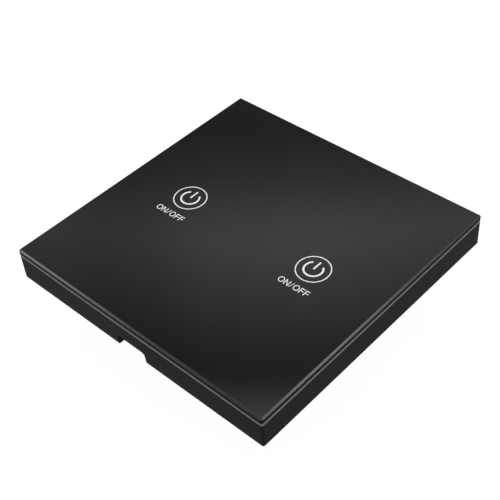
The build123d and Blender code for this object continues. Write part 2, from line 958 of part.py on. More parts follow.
def relay_case(x):
    """Cover of a relay, open towards the board."""
    wall = 2 * relay_case_wall
    case = block(span(x, relay_width), span(relay_middle, relay_length), down(0, relay_height))
    outer_edges = case.edges().filter_by(Axis.Z) + case.faces().sort_by(Axis.Z)[0].edges()
    case = fillet(outer_edges, relay_case_radius)
    inside = (power_board_bottom - relay_height + relay_case_wall, power_board_bottom + overrun)
    inner_x = span(x, relay_width - wall)
    return case - block(inner_x, span(relay_middle, relay_length - wall), inside)


def relay_yoke(x):
    """Iron path: a foot plate, an upright and the pole through the coil."""
    foot = down(relay_base, relay_base + yoke_thickness)
    yoke = block(span(x, yoke_width), (yoke_back, yoke_back + magnet_length), foot)
    upright = (yoke_back, yoke_back + yoke_thickness)
    yoke += block(span(x, yoke_width), upright, down(relay_base, magnet_far))
    return yoke + post(pole_radius, (x, pole_place), down(relay_base, magnet_far))


def bobbin_limits():
    """The bobbin's two ends, as depths below the power board."""
    near = relay_base + yoke_thickness
    return near, magnet_far - bobbin_flange / 2


def relay_bobbin(x):
    """Plastic reel round the pole."""
    near, far = bobbin_limits()
    place = (x, pole_place)
    wide_x = span(x, 2 * bobbin_half)
    wide_y = span(pole_place, 2 * bobbin_half)
    reel = post(pole_radius + bobbin_tube, place, down(near, far))
    reel += block(wide_x, wide_y, down(near, near + bobbin_flange))
    reel += block(wide_x, wide_y, down(far - bobbin_flange, far))
    cut = down(near - overrun, far + overrun)
    return reel - post(pole_radius + thread_clearance, place, cut)


def relay_coil(x):
    """Winding between the reel's flanges."""
    near, far = bobbin_limits()
    place = (x, pole_place)
    z = down(near + bobbin_flange, far - bobbin_flange)
    cut = down(near, far)
    hole = pole_radius + bobbin_tube + thread_clearance
    return post(bobbin_half - coil_inset, place, z) - post(hole, place, cut)


def tipped(shape):
    """Turn a part of the armature about its pivot, from closed to released."""
    pivot = Axis((0, yoke_back + yoke_thickness / 2, power_board_bottom - pivot_depth), (1, 0, 0))
    return shape.rotate(pivot, -contact_angle)


def relay_armature(x):
    """Iron plate that tips on the yoke's upright over the pole."""
    y = (yoke_back + yoke_thickness / 2, yoke_back + magnet_length)
    return tipped(block(span(x, armature_width), y, down(pivot_depth, leaf_depth)))


def relay_contact_leaf(x):
    """Spring leaf on the armature, with the moving contact at its end."""
    root = yoke_back + magnet_length - leaf_root - contact_radius
    leaf = down(leaf_depth, leaf_depth + leaf_thickness)
    shape = block(span(x, leaf_width), (root, contact_place + contact_radius), leaf)
    shape += post(contact_radius, (x, contact_place), down(contact_far, leaf_depth))
    return tipped(shape)


def relay_fixed_contact(x):
    """Contact on a post from the relay's base, under the moving contact."""
    tip = contact_far - contact_gap
    shape = post(contact_radius, (x, contact_place), down(tip - contact_height, tip))
    post_x = span(x, contact_post_width)
    post_y = span(contact_place, contact_post)
    return shape + block(post_x, post_y, down(relay_base, tip - contact_height))


# Terminals


def terminal_block():
    """Block on the housing's floor, with a chamber for each cage."""
    front = -inner_half
    body = block(span(0, 2 * block_half), (front, block_back), (housing_floor, power_board_bottom))
    chamber_y = (front - overrun, cage_back + cage_clearance)
    chamber_z = (collar_top, cage_high + cage_clearance)
    head_hole = terminal_head_radius + terminal_head_clearance
    bar_z = (bar_bottom - bar_clearance, bar_top + bar_clearance)
    for x in terminal_places:
        place = (x, cage_middle)
        body -= block(span(x, 2 * chamber_half), chamber_y, chamber_z)
        body -= post(head_hole, place, (housing_floor - overrun, head_top))
        shank = terminal_radius + terminal_running_clearance
        body -= post(shank, place, (head_top - overrun, collar_top + overrun))
        slot_x = span(x, bar_width + 2 * bar_clearance)
        body -= block(slot_x, (cage_back, block_back + overrun), bar_z)
    return body


def terminal_bars():
    """Copper bars: each runs through a cage, out behind the block and up through the board."""
    bars = []
    for x in terminal_places:
        wide = span(x, bar_width)
        back = block_back + bar_thickness
        bar = block(wide, (-inner_half + bar_end_gap, back), (bar_bottom, bar_top))
        riser = (bar_bottom, power_board_top + bar_board_reach)
        bars.append(bar + block(wide, (block_back, back), riser))
    return group(bars)


def terminal_screw(x):
    """Slotted screw, its head in the block and its end in the cage."""
    place = (x, cage_middle)
    screw = post(terminal_head_radius, place, (head_bottom, head_top))
    screw += post(terminal_radius, place, (head_top, terminal_tip))
    slot = (head_bottom - overrun, head_bottom + terminal_slot_depth)
    across = span(x, 2 * (terminal_head_radius + overrun))
    return screw - block(across, span(cage_middle, terminal_slot_width), slot)


def terminal_cage(x):
    """Brass cage, open along the wire, with its screw through the end near the head."""
    y = (cage_front, cage_back)
    cage = block(span(x, cage_width), y, (cage_low, cage_high))
    inside_y = (cage_front - overrun, cage_back + overrun)
    cage -= block(span(x, cage_width - 2 * cage_wall), inside_y, (cage_roof, cage_floor))
    hole = terminal_radius + terminal_running_clearance
    return cage - post(hole, (x, cage_middle), (cage_low - overrun, cage_roof + overrun))


# Every node, by name

nodes = {
    "glass_panel": glass_panel(),
    "glass_back_print": glass_back_print(),
    "left_touch_symbol": touch_symbol(symbol_places[0]),
    "right_touch_symbol": touch_symbol(symbol_places[1]),
    "panel_tape": panel_tape(),
    "panel_frame": panel_frame(),
    "mounting_plate": mounting_plate(),
    "panel_clips": panel_clips(),
    "rear_housing": rear_housing(),
    "insulating_sheet": insulating_sheet(),
    "board_tray": board_tray(),
    "housing_screws": housing_screws(),
    "touch_board": touch_board(),
    "board_screws": board_screws(),
    "left_touch_spring": touch_spring(symbol_places[0]),
    "right_touch_spring": touch_spring(symbol_places[1]),
    "indicator_leds": indicator_leds(),
    "light_guides": light_guides(),
    "touch_chip": touch_chip(),
    "touch_board_parts": touch_board_parts(),
    "header_socket": header_socket(),
    "header_base": header_base(),
    "header_pins": header_pins(),
    "power_board": power_board(),
    "transformer_core": transformer_core(),
    "transformer_bobbin": transformer_bobbin(),
    "transformer_winding": transformer_winding(),
    "film_capacitor": film_capacitor(),
    "supply_capacitor": supply_capacitor(),
    "fuse": fuse(),
    "varistor": varistor(),
    "rectifier_bridge": rectifier_bridge(),
    "voltage_regulator": voltage_regulator(),
    "terminal_block": terminal_block(),
    "terminal_bars": terminal_bars(),
}

relay_pieces = {
    "base": relay_base_plate,
    "case": relay_case,
    "yoke": relay_yoke,
    "bobbin": relay_bobbin,
    "coil": relay_coil,
    "armature": relay_armature,
    "contact_leaf": relay_contact_leaf,
    "fixed_contact": relay_fixed_contact,
}
for hand, place in (("left", -relay_place), ("right", relay_place)):
    for piece, make in relay_pieces.items():
        nodes[f"{hand}_relay_{piece}"] = make(place)

for number, place in enumerate(terminal_places, start=1):
    nodes[f"terminal_screw_{number}"] = terminal_screw(place)
    nodes[f"terminal_cage_{number}"] = terminal_cage(place)

os.makedirs("parts", exist_ok=True)
for name, shape in nodes.items():
    export_step(shape, f"parts/{name}.step")

print(f"nodes: {len(nodes)}")
print(f"face {face_side:.1f} mm square, {face_top:.2f} mm thick, housing {housing_depth:.2f} mm deep")
print(f"housing half width {housing_half:.2f}, housing floor {housing_floor:.2f}")
print(f"wire holes at y {-inner_half - housing_wall:.3f}, z {wire_place:.3f}")
print(
    f"terminals: {terminal_travel / thread_pitch:.1f} turns for {terminal_travel:.2f} mm, "
    f"cages at y {cage_middle:.3f}"
)
print(
    f"armature pivot at y {yoke_back + yoke_thickness / 2:.3f}, "
    f"z {power_board_bottom - pivot_depth:.3f}, relays at x {relay_place:.3f}"
)
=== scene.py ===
"""Two-gang touch light switch: its looks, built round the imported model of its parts.

Lengths are metres in the model's own frame: +Z points out of the wall, +Y is up as the text reads.
"""

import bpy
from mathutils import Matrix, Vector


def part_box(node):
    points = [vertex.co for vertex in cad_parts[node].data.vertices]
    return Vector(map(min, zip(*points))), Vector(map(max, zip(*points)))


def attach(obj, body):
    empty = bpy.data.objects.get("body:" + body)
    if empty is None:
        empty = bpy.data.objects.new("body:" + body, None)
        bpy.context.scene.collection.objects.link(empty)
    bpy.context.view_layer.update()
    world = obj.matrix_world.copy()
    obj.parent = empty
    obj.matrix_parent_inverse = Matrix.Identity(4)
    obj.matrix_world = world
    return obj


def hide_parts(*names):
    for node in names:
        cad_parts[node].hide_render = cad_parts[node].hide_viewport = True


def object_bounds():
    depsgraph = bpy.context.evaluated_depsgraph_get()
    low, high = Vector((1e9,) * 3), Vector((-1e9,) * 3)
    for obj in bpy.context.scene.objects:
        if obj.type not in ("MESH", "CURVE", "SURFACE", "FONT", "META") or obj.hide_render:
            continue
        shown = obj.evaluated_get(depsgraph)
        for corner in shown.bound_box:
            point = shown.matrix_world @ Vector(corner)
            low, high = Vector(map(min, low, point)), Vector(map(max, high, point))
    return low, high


bl_info = {
    "name": "Touch Light Switch",
    "version": (1, 0, 0),
    "blender": (4, 5, 0),
    "location": "3D View > Sidebar > Touch Switch",
    "description": "Dresses a touch light switch: glass, frame, boards, relays and terminals",
    "category": "Object",
}

import math

import bmesh
import bpy
import numpy as np
from bpy.props import FloatProperty, FloatVectorProperty, PointerProperty
from mathutils import Matrix, Vector

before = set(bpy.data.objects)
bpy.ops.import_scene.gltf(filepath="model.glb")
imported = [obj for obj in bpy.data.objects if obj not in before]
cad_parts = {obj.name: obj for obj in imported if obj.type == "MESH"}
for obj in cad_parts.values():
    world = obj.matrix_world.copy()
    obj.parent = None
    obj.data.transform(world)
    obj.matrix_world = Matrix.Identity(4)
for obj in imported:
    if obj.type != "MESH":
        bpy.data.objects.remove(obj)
cad_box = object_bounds()

MM = 0.001

# Plain finishes: the nodes that wear it, if any besides new pieces, its name, the two colours
# that it wanders between, its range of roughness, its grain and the grain's depth in mm, and its
# stretch along the three axes.
MATT_FINISHES = (
    # Vulcanised fibre sheet: dark and dry, fibres some 0.3 mm long pressed flat.
    ("insulating_sheet", "vulcanised_fibre", "#2b2b2d", "#3a3a3c", (0.6, 0.75), 0.3, 0.008,
     (1, 3, 1)),
    # ABS from a satin mould: pale grey, soft in its gloss.
    ("board_tray", "moulded_grey_abs", "#b4b7b6", "#c3c6c4", (0.42, 0.55), 0.2, 0.005),
    # Foamed tape: black and dry, pitted by cells 0.25 mm across.
    ("panel_tape", "black_foam_tape", "#0e0e0e", "#1a1a1a", (0.75, 0.9), 0.25, 0.02),
    # Ink printed through a screen on the glass: black, with a dull sheen.
    ("glass_back_print", "black_back_print", "#0c0c0d", "#121213", (0.3, 0.4), 0.5, 0.001),
    # Epoxy over a light chip: milky, with a faint yellow phosphor.
    ("indicator_leds", "milky_epoxy", "#e9e2b4", "#f6f2d6", (0.2, 0.3), 0.3),
    # Moulded epoxy of chip packages: charcoal, matt, a fine filler grain.
    ("touch_chip rectifier_bridge voltage_regulator", "chip_epoxy", "#161617", "#202021",
     (0.5, 0.65), 0.1, 0.004),
    # Moulded nylon: black, with a waxy sheen.
    ("header_socket header_base left_relay_base right_relay_base", "black_nylon", "#151516",
     "#1d1d1f", (0.4, 0.55), 0.25, 0.004),
    # Epoxy ink, printed through a screen: white and flat.
    ("", "white_legend_ink", "#d9d9d3", "#e8e8e3", (0.5, 0.65), 0.15, 0.001),
    # Ink from a rubber pad: nearly black, with a low sheen.
    ("", "dark_pad_print", "#2a2b2d", "#37383a", (0.4, 0.55), 0.2, 0.001),
    # Fired ceramic of chip capacitors: brown, sandy to 0.1 mm.
    ("touch_board_parts", "chip_ceramic", "#6b5438", "#7f6647", (0.35, 0.5), 0.1, 0.002),
    # Glass glaze over a chip resistor: black and shiny.
    ("", "chip_glaze", "#141415", "#1c1c1e", (0.2, 0.3), 0.3, 0.002),
    # Moulded rubber: black and dull.
    ("", "black_rubber_bung", "#151515", "#1e1e1e", (0.6, 0.75), 0.3, 0.01),
    # Sintered ferrite: dark grey, dry, with tiny pits.
    ("transformer_core", "sintered_ferrite", "#2a2a2c", "#3b3b3d", (0.55, 0.75), 0.14, 0.01),
    # Nylon filled with glass: charcoal, with flow lines 0.35 mm wide.
    ("transformer_bobbin left_relay_bobbin right_relay_bobbin", "glass_filled_nylon", "#1c1c1e",
     "#29292b", (0.5, 0.65), 0.35, 0.006, (1, 1, 4)),
    # Resin-filled box: yellow, smooth with a slight orange peel.
    ("film_capacitor", "yellow_resin_box", "#c39118", "#d5a528", (0.2, 0.32), 1.2, 0.01),
    # Plastic film shrunk on: dark, glossy, a little wavy.
    ("supply_capacitor", "shrink_sleeve", "#15181f", "#20242d", (0.2, 0.32), 1.5, 0.01),
    # Moulded phenolic: brown, with a low sheen.
    ("fuse", "brown_fuse_body", "#4a1b12", "#5b2418", (0.3, 0.42), 0.5, 0.004),
    # Dipped epoxy: glossy blue with a lumpy skin.
    ("varistor", "dipped_blue_epoxy", "#1b4a8f", "#245aa6", (0.22, 0.36), 1.4, 0.05),
    # Moulded polyamide: green, satin.
    ("terminal_block", "green_polyamide", "#1d5a35", "#276b42", (0.38, 0.5), 0.22, 0.005),
)
METAL_FINISHES = (
    # Hard-drawn steel with bright nickel: shiny, faintly drawn.
    ("left_touch_spring right_touch_spring panel_clips", "nickel_plated_spring", "#b9b8b2",
     "#d2d1cb", (0.18, 0.3), 0.12, 0.001),
    # Steel zinc plated in a barrel: bright, softly clouded.
    ("housing_screws board_screws terminal_screw_1 terminal_screw_2 terminal_screw_3",
     "zinc_plated_screw", "#a7a9a8", "#c6c7c4", (0.24, 0.4), 0.3, 0.002),
    # Tin solder, frozen shiny with a faint grain.
    ("", "tin_solder", "#b9babb", "#d3d4d4", (0.16, 0.3), 0.25, 0.004),
    # Drawn aluminium, left as it came from the press: pale and silky.
    ("", "can_aluminium", "#b8babb", "#cdcfd0", (0.25, 0.4), 0.2, 0.002),
    # Brass, bright-dipped after machining: yellow, with faint tool lines.
    ("terminal_cage_1 terminal_cage_2 terminal_cage_3", "bright_brass", "#b58d3e", "#d1ab5b",
     (0.2, 0.34), 0.2, 0.002, (1, 1, 0.2)),
    # Gold flash over copper: deep yellow, smooth.
    ("header_pins", "gold_flashed_pins", "#c9a24a", "#e0be6a", (0.14, 0.24), 0.3),
    # Copper strip, punched and left bare: warm, slightly dull.
    ("terminal_bars", "bare_copper_strip", "#b06a45", "#c98560", (0.25, 0.42), 0.18, 0.002,
     (1, 0.1, 1)),
    # Soft iron with nickel: pale grey, silky.
    ("left_relay_yoke right_relay_yoke left_relay_armature right_relay_armature",
     "nickel_plated_iron", "#9d9c98", "#bab9b4", (0.28, 0.42), 0.15, 0.002),
    # Rolled bronze with a flash of silver: warm and bright.
    ("left_relay_contact_leaf right_relay_contact_leaf "
     "left_relay_fixed_contact right_relay_fixed_contact",
     "silvered_copper_alloy", "#b98f66", "#d6b48e", (0.22, 0.36), 0.2),
)

# Leads soldered to the power board, in mm: node, places along X from its middle, the edge along Y
# that they lie near (-1 low, 0 middle, 1 high), and how far they lie from that edge.
LEADS = (
    ("left_relay_base", (-5, 5), -1, 0.9),
    ("left_relay_base", (-5, 0, 5), 1, 0.63),
    ("right_relay_base", (-5, 5), -1, 0.9),
    ("right_relay_base", (-5, 0, 5), 1, 0.63),
    ("transformer_bobbin", (-4, 0, 4), -1, 1.0),
    ("transformer_bobbin", (-3.6, 3.6), 1, 0.9),
    ("film_capacitor", (-5, 5), 0, 0),
    ("supply_capacitor", (-1.75, 1.75), 0, 0),
    ("fuse", (-2.5, 2.5), 0, 0),
    ("varistor", (-2.5, 2.5), 0, 0),
)
# Outline of the smoothing can: share of the full radius, and height in mm above its foot, or below
# its top for the second list. The third list holds the shares for the rings of its flat end.
CAN_FOOT = (
    (0.82, 0), (0.92, 0.05), (0.94, 0.3), (0.985, 0.4), (1, 0.6), (1, 1.2), (0.93, 1.5),
    (0.92, 1.65), (0.93, 1.8), (1, 2.1),
)
CAN_TOP = ((1, 0.7), (0.985, 0.35), (0.95, 0.12), (0.9, 0), (0.84, 0.02), (0.82, 0.16))
CAN_END = (0.81, 0.7, 0.6, 0.5, 0.4, 0.3, 0.2, 0.1, 0.03)
# Epoxy that ran down each of the varistor's leads: radius and height in mm.
EPOXY_RUN = ((0.32, 1.0), (0.42, 1.15), (0.55, 1.7), (0.8, 2.4), (1.15, 3.2), (1.3, 4.2))

# Tracks on the right half of the touch board, in mm; the left half mirrors them.
TRACK_PATHS = (
    ((2.7, 4.445), (3.1, 4.445), (3.75, 5.1), (3.75, 6.2)),
    ((2.7, 3.175), (4.6, 3.175), (5.5, 4.075), (5.5, 6.2)),
    ((2.7, 1.905), (6.6, 1.905), (8.35, 3.655), (8.35, 6.2)),
    ((2.7, 0.635), (8.3, 0.635), (10.1, 2.435), (10.1, 6.2)),
    ((2.7, -0.635), (11.4, -0.635), (12.0, 0.0), (17.6, 0.0)),
    ((2.7, -1.905), (7.9, -1.905), (10.1, -4.105), (10.1, -6.2)),
    ((2.7, -3.175), (6.2, -3.175), (8.35, -5.325), (8.35, -6.2)),
    ((2.7, -4.445), (4.5, -4.445), (5.5, -5.445), (5.5, -6.2)),
    ((10.3, 7.1), (14.2, 7.1), (18.2, 11.1), (23.6, 11.1)),
    ((10.3, -7.1), (13.4, -7.1), (17.4, -11.1), (23.6, -11.1)),
    ((3.6, 7.9), (3.6, 9.6), (6.2, 12.2), (15.6, 12.2)),
    ((3.6, -7.9), (3.6, -9.6), (6.2, -12.2), (15.6, -12.2)),
)
# Ratings printed on the rear of the parts behind the power board: node, ink and lines of words.
PART_MARKS = (
    ("left_relay_case", "white_legend_ink", ("5 V", "10 A 250 V~")),
    ("right_relay_case", "white_legend_ink", ("5 V", "10 A 250 V~")),
    ("fuse", "white_legend_ink", ("T 2 A", "250 V")),
    ("film_capacitor", "dark_pad_print", ("0.47 uF X2", "275 V~")),
)
# Printed marks of the touch board: words and the middle of their base line, in mm.
BOARD_MARKS = (
    ("R1", -9.2, 8.2), ("R2", -6.0, 8.2), ("R3", 6.0, 8.2), ("R4", 9.2, 8.2),
    ("C1", -9.2, -9.2), ("C2", -6.0, -9.2), ("C3", 6.0, -9.2), ("C4", 9.2, -9.2),
    ("U1", 0.0, 5.25), ("D1", -21.8, -7.2), ("D2", 21.8, -7.2), ("TOUCH 1", -21.8, 6.4),
    ("TOUCH 2", 21.8, 6.4),
)
# Letters above the wire holes, in mm: words, and the middle of their base line along X.
WIRE_MARKS = (("L1", -9.5), ("L", 0.0), ("L2", 9.5))
WIRE_MARK_LEVEL = -7.6 * MM
BOARD_MARK_HEIGHT = 1.0 * MM
PRINT_RELIEF = 0.01 * MM
# Height of a capital letter of Blender's own font, as a share of its size.
CAPITAL_SHARE = 0.7

# Room light by height, 0 at the horizon and 1 overhead: a dim band between the floor and the sky,
# a soft stripe that the glass shows, and a bright top.
SKY_BANDS = (
    (0.0, 1.0), (0.16, 1.0), (0.36, 0.3), (0.5, 0.17), (0.605, 0.145), (0.638, 0.3),
    (0.676, 0.655), (0.689, 0.695), (0.728, 0.44), (0.766, 0.18), (0.779, 0.17), (0.795, 0.68),
    (0.83, 0.9), (0.88, 1.65), (1.0, 1.65),
)
# How the room's light changes from the camera's left, -1, to its right, 1.
SKY_FADE = (
    (-1.0, 0.9), (-0.19, 0.8), (-0.143, 0.69), (-0.094, 0.81), (-0.045, 1.09), (0.053, 1.28),
    (0.2, 1.02), (1.0, 0.95),
)
# Lamps: name, direction from the switch, width and height in metres, and brightness as seen.
LAMPS = (
    ("left_lamp", (-0.74, -0.58, 0.33), 0.46, 0.4, 3.5),
    ("right_lamp", (0.80, 0.42, 0.43), 0.36, 0.32, 4.6),
)
LAMP_DISTANCE = 1.2
# Where the camera looks, a little beside the middle of the face.
CAMERA_TARGET = Vector((-2.788, 2.430, 0.0)) * MM


def linear(code):
    """An sRGB hex colour such as "#2c2c2c" as linear red, green and blue."""
    levels = [int(code[place:place + 2], 16) / 255 for place in (1, 3, 5)]
    return tuple(v / 12.92 if v <= 0.04045 else ((v + 0.055) / 1.055) ** 2.4 for v in levels)


# Settings that a user would change


def length(name, description, default):
    """A length in metres, shown in the scene's own unit."""
    return FloatProperty(
        name=name, description=description, default=default, min=0.0, precision=6, unit="LENGTH"
    )


def colour(name, description, default):
    """A colour, given as an sRGB hex value."""
    return FloatVectorProperty(
        name=name, description=description, default=linear(default), min=0.0, max=1.0,
        subtype="COLOR",
    )


def degrees(name, description, default):
    """An angle, given in degrees."""
    return FloatProperty(
        name=name, description=description, default=math.radians(default), subtype="ANGLE"
    )


class GlassSettings(bpy.types.PropertyGroup):
    """Sizes and colours of the glass plate."""

    corner_radius: length("Corner radius", "Radius of the plate's corners in plan", 0.6 * MM)
    bevel: length("Bevel", "Width of the ground bevel round the top", 0.45 * MM)
    arris: length("Arris", "Width of the soft edge where two faces meet", 0.05 * MM)
    back_colour: colour("Back colour", "Black ink as seen through the glass", "#0c0c0d")
    edge_colour: colour("Edge colour", "Ground glass of the bevel", "#303132")
    side_colour: colour("Side colour", "Dull glass of the sides", "#070708")
    symbol_colour: colour("Symbol colour", "White ink of the symbols", "#fdfdfb")


class FrameSettings(bpy.types.PropertyGroup):
    """Colours of the plastic frame and the housing."""

    frame_colour: colour("Frame colour", "Black moulded frame", "#121213")
    # The rim colour is a painted highlight: pale grey laid on the chamfer where the black plastic
    # catches light.
    rim_highlight_colour: colour("Rim colour", "Polished chamfer round the frame's top", "#828180")
    housing_colour: colour("Housing colour", "Off-white housing behind the plate", "#d8d6cd")
    relay_colour: colour("Relay colour", "Cover of each relay", "#1c4f9c")
    mask_colour: colour("Board colour", "Solder mask of the boards", "#0c4a27")


class WindingSettings(bpy.types.PropertyGroup):
    """Sizes of the windings under their tape and wire."""

    wire_pitch: length("Wire pitch", "Spacing of a coil's turns, drawn coarse to show", 0.3 * MM)
    wire_ridge: length("Wire ridge", "Depth of the groove between turns", 0.09 * MM)
    coil_hole: length("Coil hole", "Radius inside a relay coil", 2.35 * MM)
    tape_lap: length("Tape lap", "Step where one turn of tape ends on the next", 0.06 * MM)


class BoardSettings(bpy.types.PropertyGroup):
    """Sizes of the small parts on the boards."""

    chip_length: length("Chip length", "Length of a chip resistor or capacitor", 2.0 * MM)
    chip_width: length("Chip width", "Width of a chip", 1.25 * MM)
    chip_cap: length("Cap length", "Length of a chip's tinned end", 0.45 * MM)
    solder_radius: length("Solder radius", "Radius of a soldered joint on its pad", 0.78 * MM)
    solder_height: length("Solder height", "Height of a soldered joint", 0.62 * MM)
    lead_radius: length("Lead radius", "Radius of a part's tinned lead", 0.28 * MM)
    track_width: length("Track width", "Width of a copper track", 0.3 * MM)
    track_height: length("Track height", "Copper and mask above the board", 0.04 * MM)
    mark_height: length("Mark height", "Height of the letters beside the wire holes", 2.2 * MM)
    rating_height: length("Rating height", "Height of the letters on the parts", 1.3 * MM)
    mark_relief: length("Mark relief", "How far printed and raised letters stand out", 0.03 * MM)


class StageSettings(bpy.types.PropertyGroup):
    """Camera and light."""

    azimuth: degrees("Azimuth", "Camera's turn from the front", 45.776)
    elevation: degrees("Elevation", "Camera's height as an angle", 43.682)
    roll: degrees("Roll", "Camera's turn about its own axis", -4.785)
    distance: length("Distance", "From the camera to its target", 275.943 * MM)
    lens: FloatProperty(
        name="Lens", description="Focal length for a 36 mm sensor", default=73.42,
        subtype="DISTANCE_CAMERA",
    )
    floor_colour: colour("Floor colour", "Pale floor under the switch", "#f7f7f6")
    light_level: FloatProperty(
        name="Light level", description="Strength of the room's light and the lamps",
        default=1.0, min=0.0,
    )


def settings(group):
    """One of the scene's groups of settings."""
    return getattr(bpy.context.scene, "touch_switch_" + group)


# Nodes and materials


def add_node(tree, kind, values=None, links=None, out=0):
    """Add a node and give back one of its outputs, from which the node itself can be reached.

    Values set its attributes or inputs, and links join its inputs to the outputs of other nodes.
    """
    node = tree.nodes.new(kind)
    for name, value in (values or {}).items():
        if isinstance(name, str) and hasattr(node, name):
            setattr(node, name, value)
        else:
            node.inputs[name].default_value = value
    for name, output in (links or {}).items():
        tree.links.new(node.inputs[name], output)
    return node.outputs[out] if len(node.outputs) else None


def new_material(name):
    """An empty node material and its tree."""
    material = bpy.data.materials.new(name)
    material.use_nodes = True
    material.node_tree.nodes.clear()
    return material, material.node_tree


def rgba(tone):
    """A colour of three parts, or a hex value, with an alpha of one."""
    parts = linear(tone) if isinstance(tone, str) else tuple(tone)
    return parts + (1.0,)


def shaded(tone, share):
    """A share of a colour."""
    return [share * v for v in tone]


def object_point(tree, stretch=(1, 1, 1)):
    """Object coordinates, drawn out along the axes whose stretch is small."""
    place = add_node(tree, "ShaderNodeTexCoord", out="Object")
    return add_node(tree, "ShaderNodeMapping", {"Scale": stretch}, {"Vector": place})


def grain(tree, size, stretch=(1, 1, 1), detail=2.0):
    """Noise whose grains are about this size in millimetres, between 0 and 1."""
    values = {"Scale": 1 / (size * MM), "Detail": detail, "Roughness": 0.55}
    links = {"Vector": object_point(tree, stretch)}
    return add_node(tree, "ShaderNodeTexNoise", values, links, "Fac")


def between(tree, pattern, low, high, start=0.3, end=0.7):
    """A value or a colour that runs from low to high while a pattern runs from start to end."""
    is_value = isinstance(low, (int, float))
    first, last = (low, high) if is_value else (0, 1)
    values = {"From Min": start, "From Max": end, "To Min": first, "To Max": last}
    share = add_node(tree, "ShaderNodeMapRange", values, {"Value": pattern})
    if is_value:
        return share
    colours = {"data_type": "RGBA", 6: rgba(low), 7: rgba(high)}
    return add_node(tree, "ShaderNodeMix", colours, {"Factor": share}, 2)


def surface(tree, values, links, height=None, depth=0.0):
    """The shader with its output, and a bump of a depth in millimetres."""
    if height is not None:
        relief = {"Strength": 1.0, "Distance": depth * MM}
        bump = add_node(tree, "ShaderNodeBump", relief, {"Height": height})
        links = links | {"Normal": bump}
    shader = add_node(tree, "ShaderNodeBsdfPrincipled", values, links)
    add_node(tree, "ShaderNodeOutputMaterial", None, {"Surface": shader})


def plain_finish(name, first, second, rough, size, depth=0.0, stretch=(1, 1, 1), **values):
    """A finish that wanders between two colours and two roughnesses, with a grain of its own.

    Its colour follows clouds twelve grains across, to which the grain adds a little.
    """
    material, tree = new_material(name)
    fine = grain(tree, size, stretch)
    sums = {"operation": "MULTIPLY_ADD", 1: 0.45}
    both = add_node(tree, "ShaderNodeMath", sums, {0: fine, 2: grain(tree, 12 * size)})
    links = {
        "Base Color": between(tree, both, first, second, 0.5, 0.95),
        "Roughness": between(tree, fine, *rough),
    }
    surface(tree, values, links, fine if depth else None, depth)
    return material


# Finishes, each named for what the real surface is


def polished_glass():
    """Float glass 1.6 mm thick with black ink on its back: deep black under a clear gloss."""
    material, tree = new_material("polished_float_glass")
    # Wiped glass keeps faint smears some 15 mm across, which only dull the gloss a little.
    smears = grain(tree, 15.0, (1, 0.4, 1), 4.0)
    values = {"Base Color": rgba(settings("glass").back_colour), "IOR": 1.52}
    surface(tree, values, {"Roughness": between(tree, smears, 0.045, 0.075)})
    return material


def ground_glass():
    """The plate's bevel, left silky by a fine wheel, so that it catches light as a soft line."""
    material, tree = new_material("ground_glass_edge")
    # The wheel's marks run along the edge; real ones are 0.02 mm apart, here 0.15 mm to show.
    marks = grain(tree, 0.15, (1, 1, 3))
    tint = settings("glass").edge_colour
    links = {
        "Base Color": between(tree, grain(tree, 6.0), shaded(tint, 0.7), tint),
        "Roughness": between(tree, marks, 0.2, 0.34),
    }
    surface(tree, {"IOR": 1.52}, links, marks, 0.002)
    return material


def seamed_glass():
    """The plate's sides, rubbed dull before the bevel is cut: nearly black, with little gloss."""
    material, tree = new_material("seamed_glass_side")
    # Marks of the belt run along the edge, 0.2 mm apart.
    marks = grain(tree, 0.2, (1, 1, 3))
    tint = settings("glass").side_colour
    links = {
        "Base Color": between(tree, marks, shaded(tint, 0.75), tint),
        "Roughness": between(tree, marks, 0.5, 0.65),
    }
    surface(tree, {"IOR": 1.52, "Specular IOR Level": 0.04}, links, marks, 0.002)
    return material


def printed_ink():
    """White ceramic ink, screen printed: flat, opaque and a little rough."""
    white = settings("glass").symbol_colour
    return plain_finish(
        "white_screen_print", shaded(white, 0.9), white, (0.45, 0.6), 0.08, 0.002, IOR=1.5
    )


def facing(tree, slope, reach):
    """One where the surface's normal has this Z to within a reach, and zero elsewhere."""
    turn = add_node(tree, "ShaderNodeNewGeometry", out="True Normal")
    upright = add_node(tree, "ShaderNodeSeparateXYZ", None, {0: turn}, "Z")
    values = {"operation": "COMPARE", 1: slope, 2: reach}
    return add_node(tree, "ShaderNodeMath", values, {0: upright})


def moulded_black():
    """ABS from a spark-eroded mould: black, with a 0.16 mm satin grain and a painted highlight on
    its chamfer.
    """
    look = settings("frame")
    material, tree = new_material("moulded_black_abs")
    fine = grain(tree, 0.16)
    # The chamfer round the top is polished in the mould, so it is smoother, and it is painted pale
    # grey as a painted highlight along the edge.
    rim = facing(tree, math.sqrt(0.5), 0.1)
    dark = look.frame_colour
    body = between(tree, grain(tree, 3.0), shaded(dark, 0.75), dark)
    pale = {"data_type": "RGBA", 7: rgba(look.rim_highlight_colour)}
    smoother = {"operation": "MULTIPLY_ADD", 1: -0.2}
    links = {
        "Base Color": add_node(tree, "ShaderNodeMix", pale, {"Factor": rim, 6: body}, 2),
        "Roughness": add_node(
            tree, "ShaderNodeMath", smoother, {0: rim, 2: between(tree, fine, 0.5, 0.65)}
        ),
    }
    surface(tree, {"IOR": 1.5, "Specular IOR Level": 0.045}, links, fine, 0.006)
    return material


def zinc_plate():
    """Rolled sheet steel with bright zinc plating: brushed along X, with a faint cloudy tint."""
    material, tree = new_material("zinc_plated_steel")
    # Rolling lines some 0.12 mm apart and 8 mm long.
    lines = grain(tree, 0.12, (0.015, 1, 1), 3.0)
    cloud = grain(tree, 9.0, detail=3.0)
    links = {
        "Base Color": between(tree, cloud, "#b2b5b7", "#c5c7c5"),
        "Roughness": between(tree, lines, 0.26, 0.4),
    }
    surface(tree, {"Metallic": 1.0}, links, lines, 0.002)
    return material


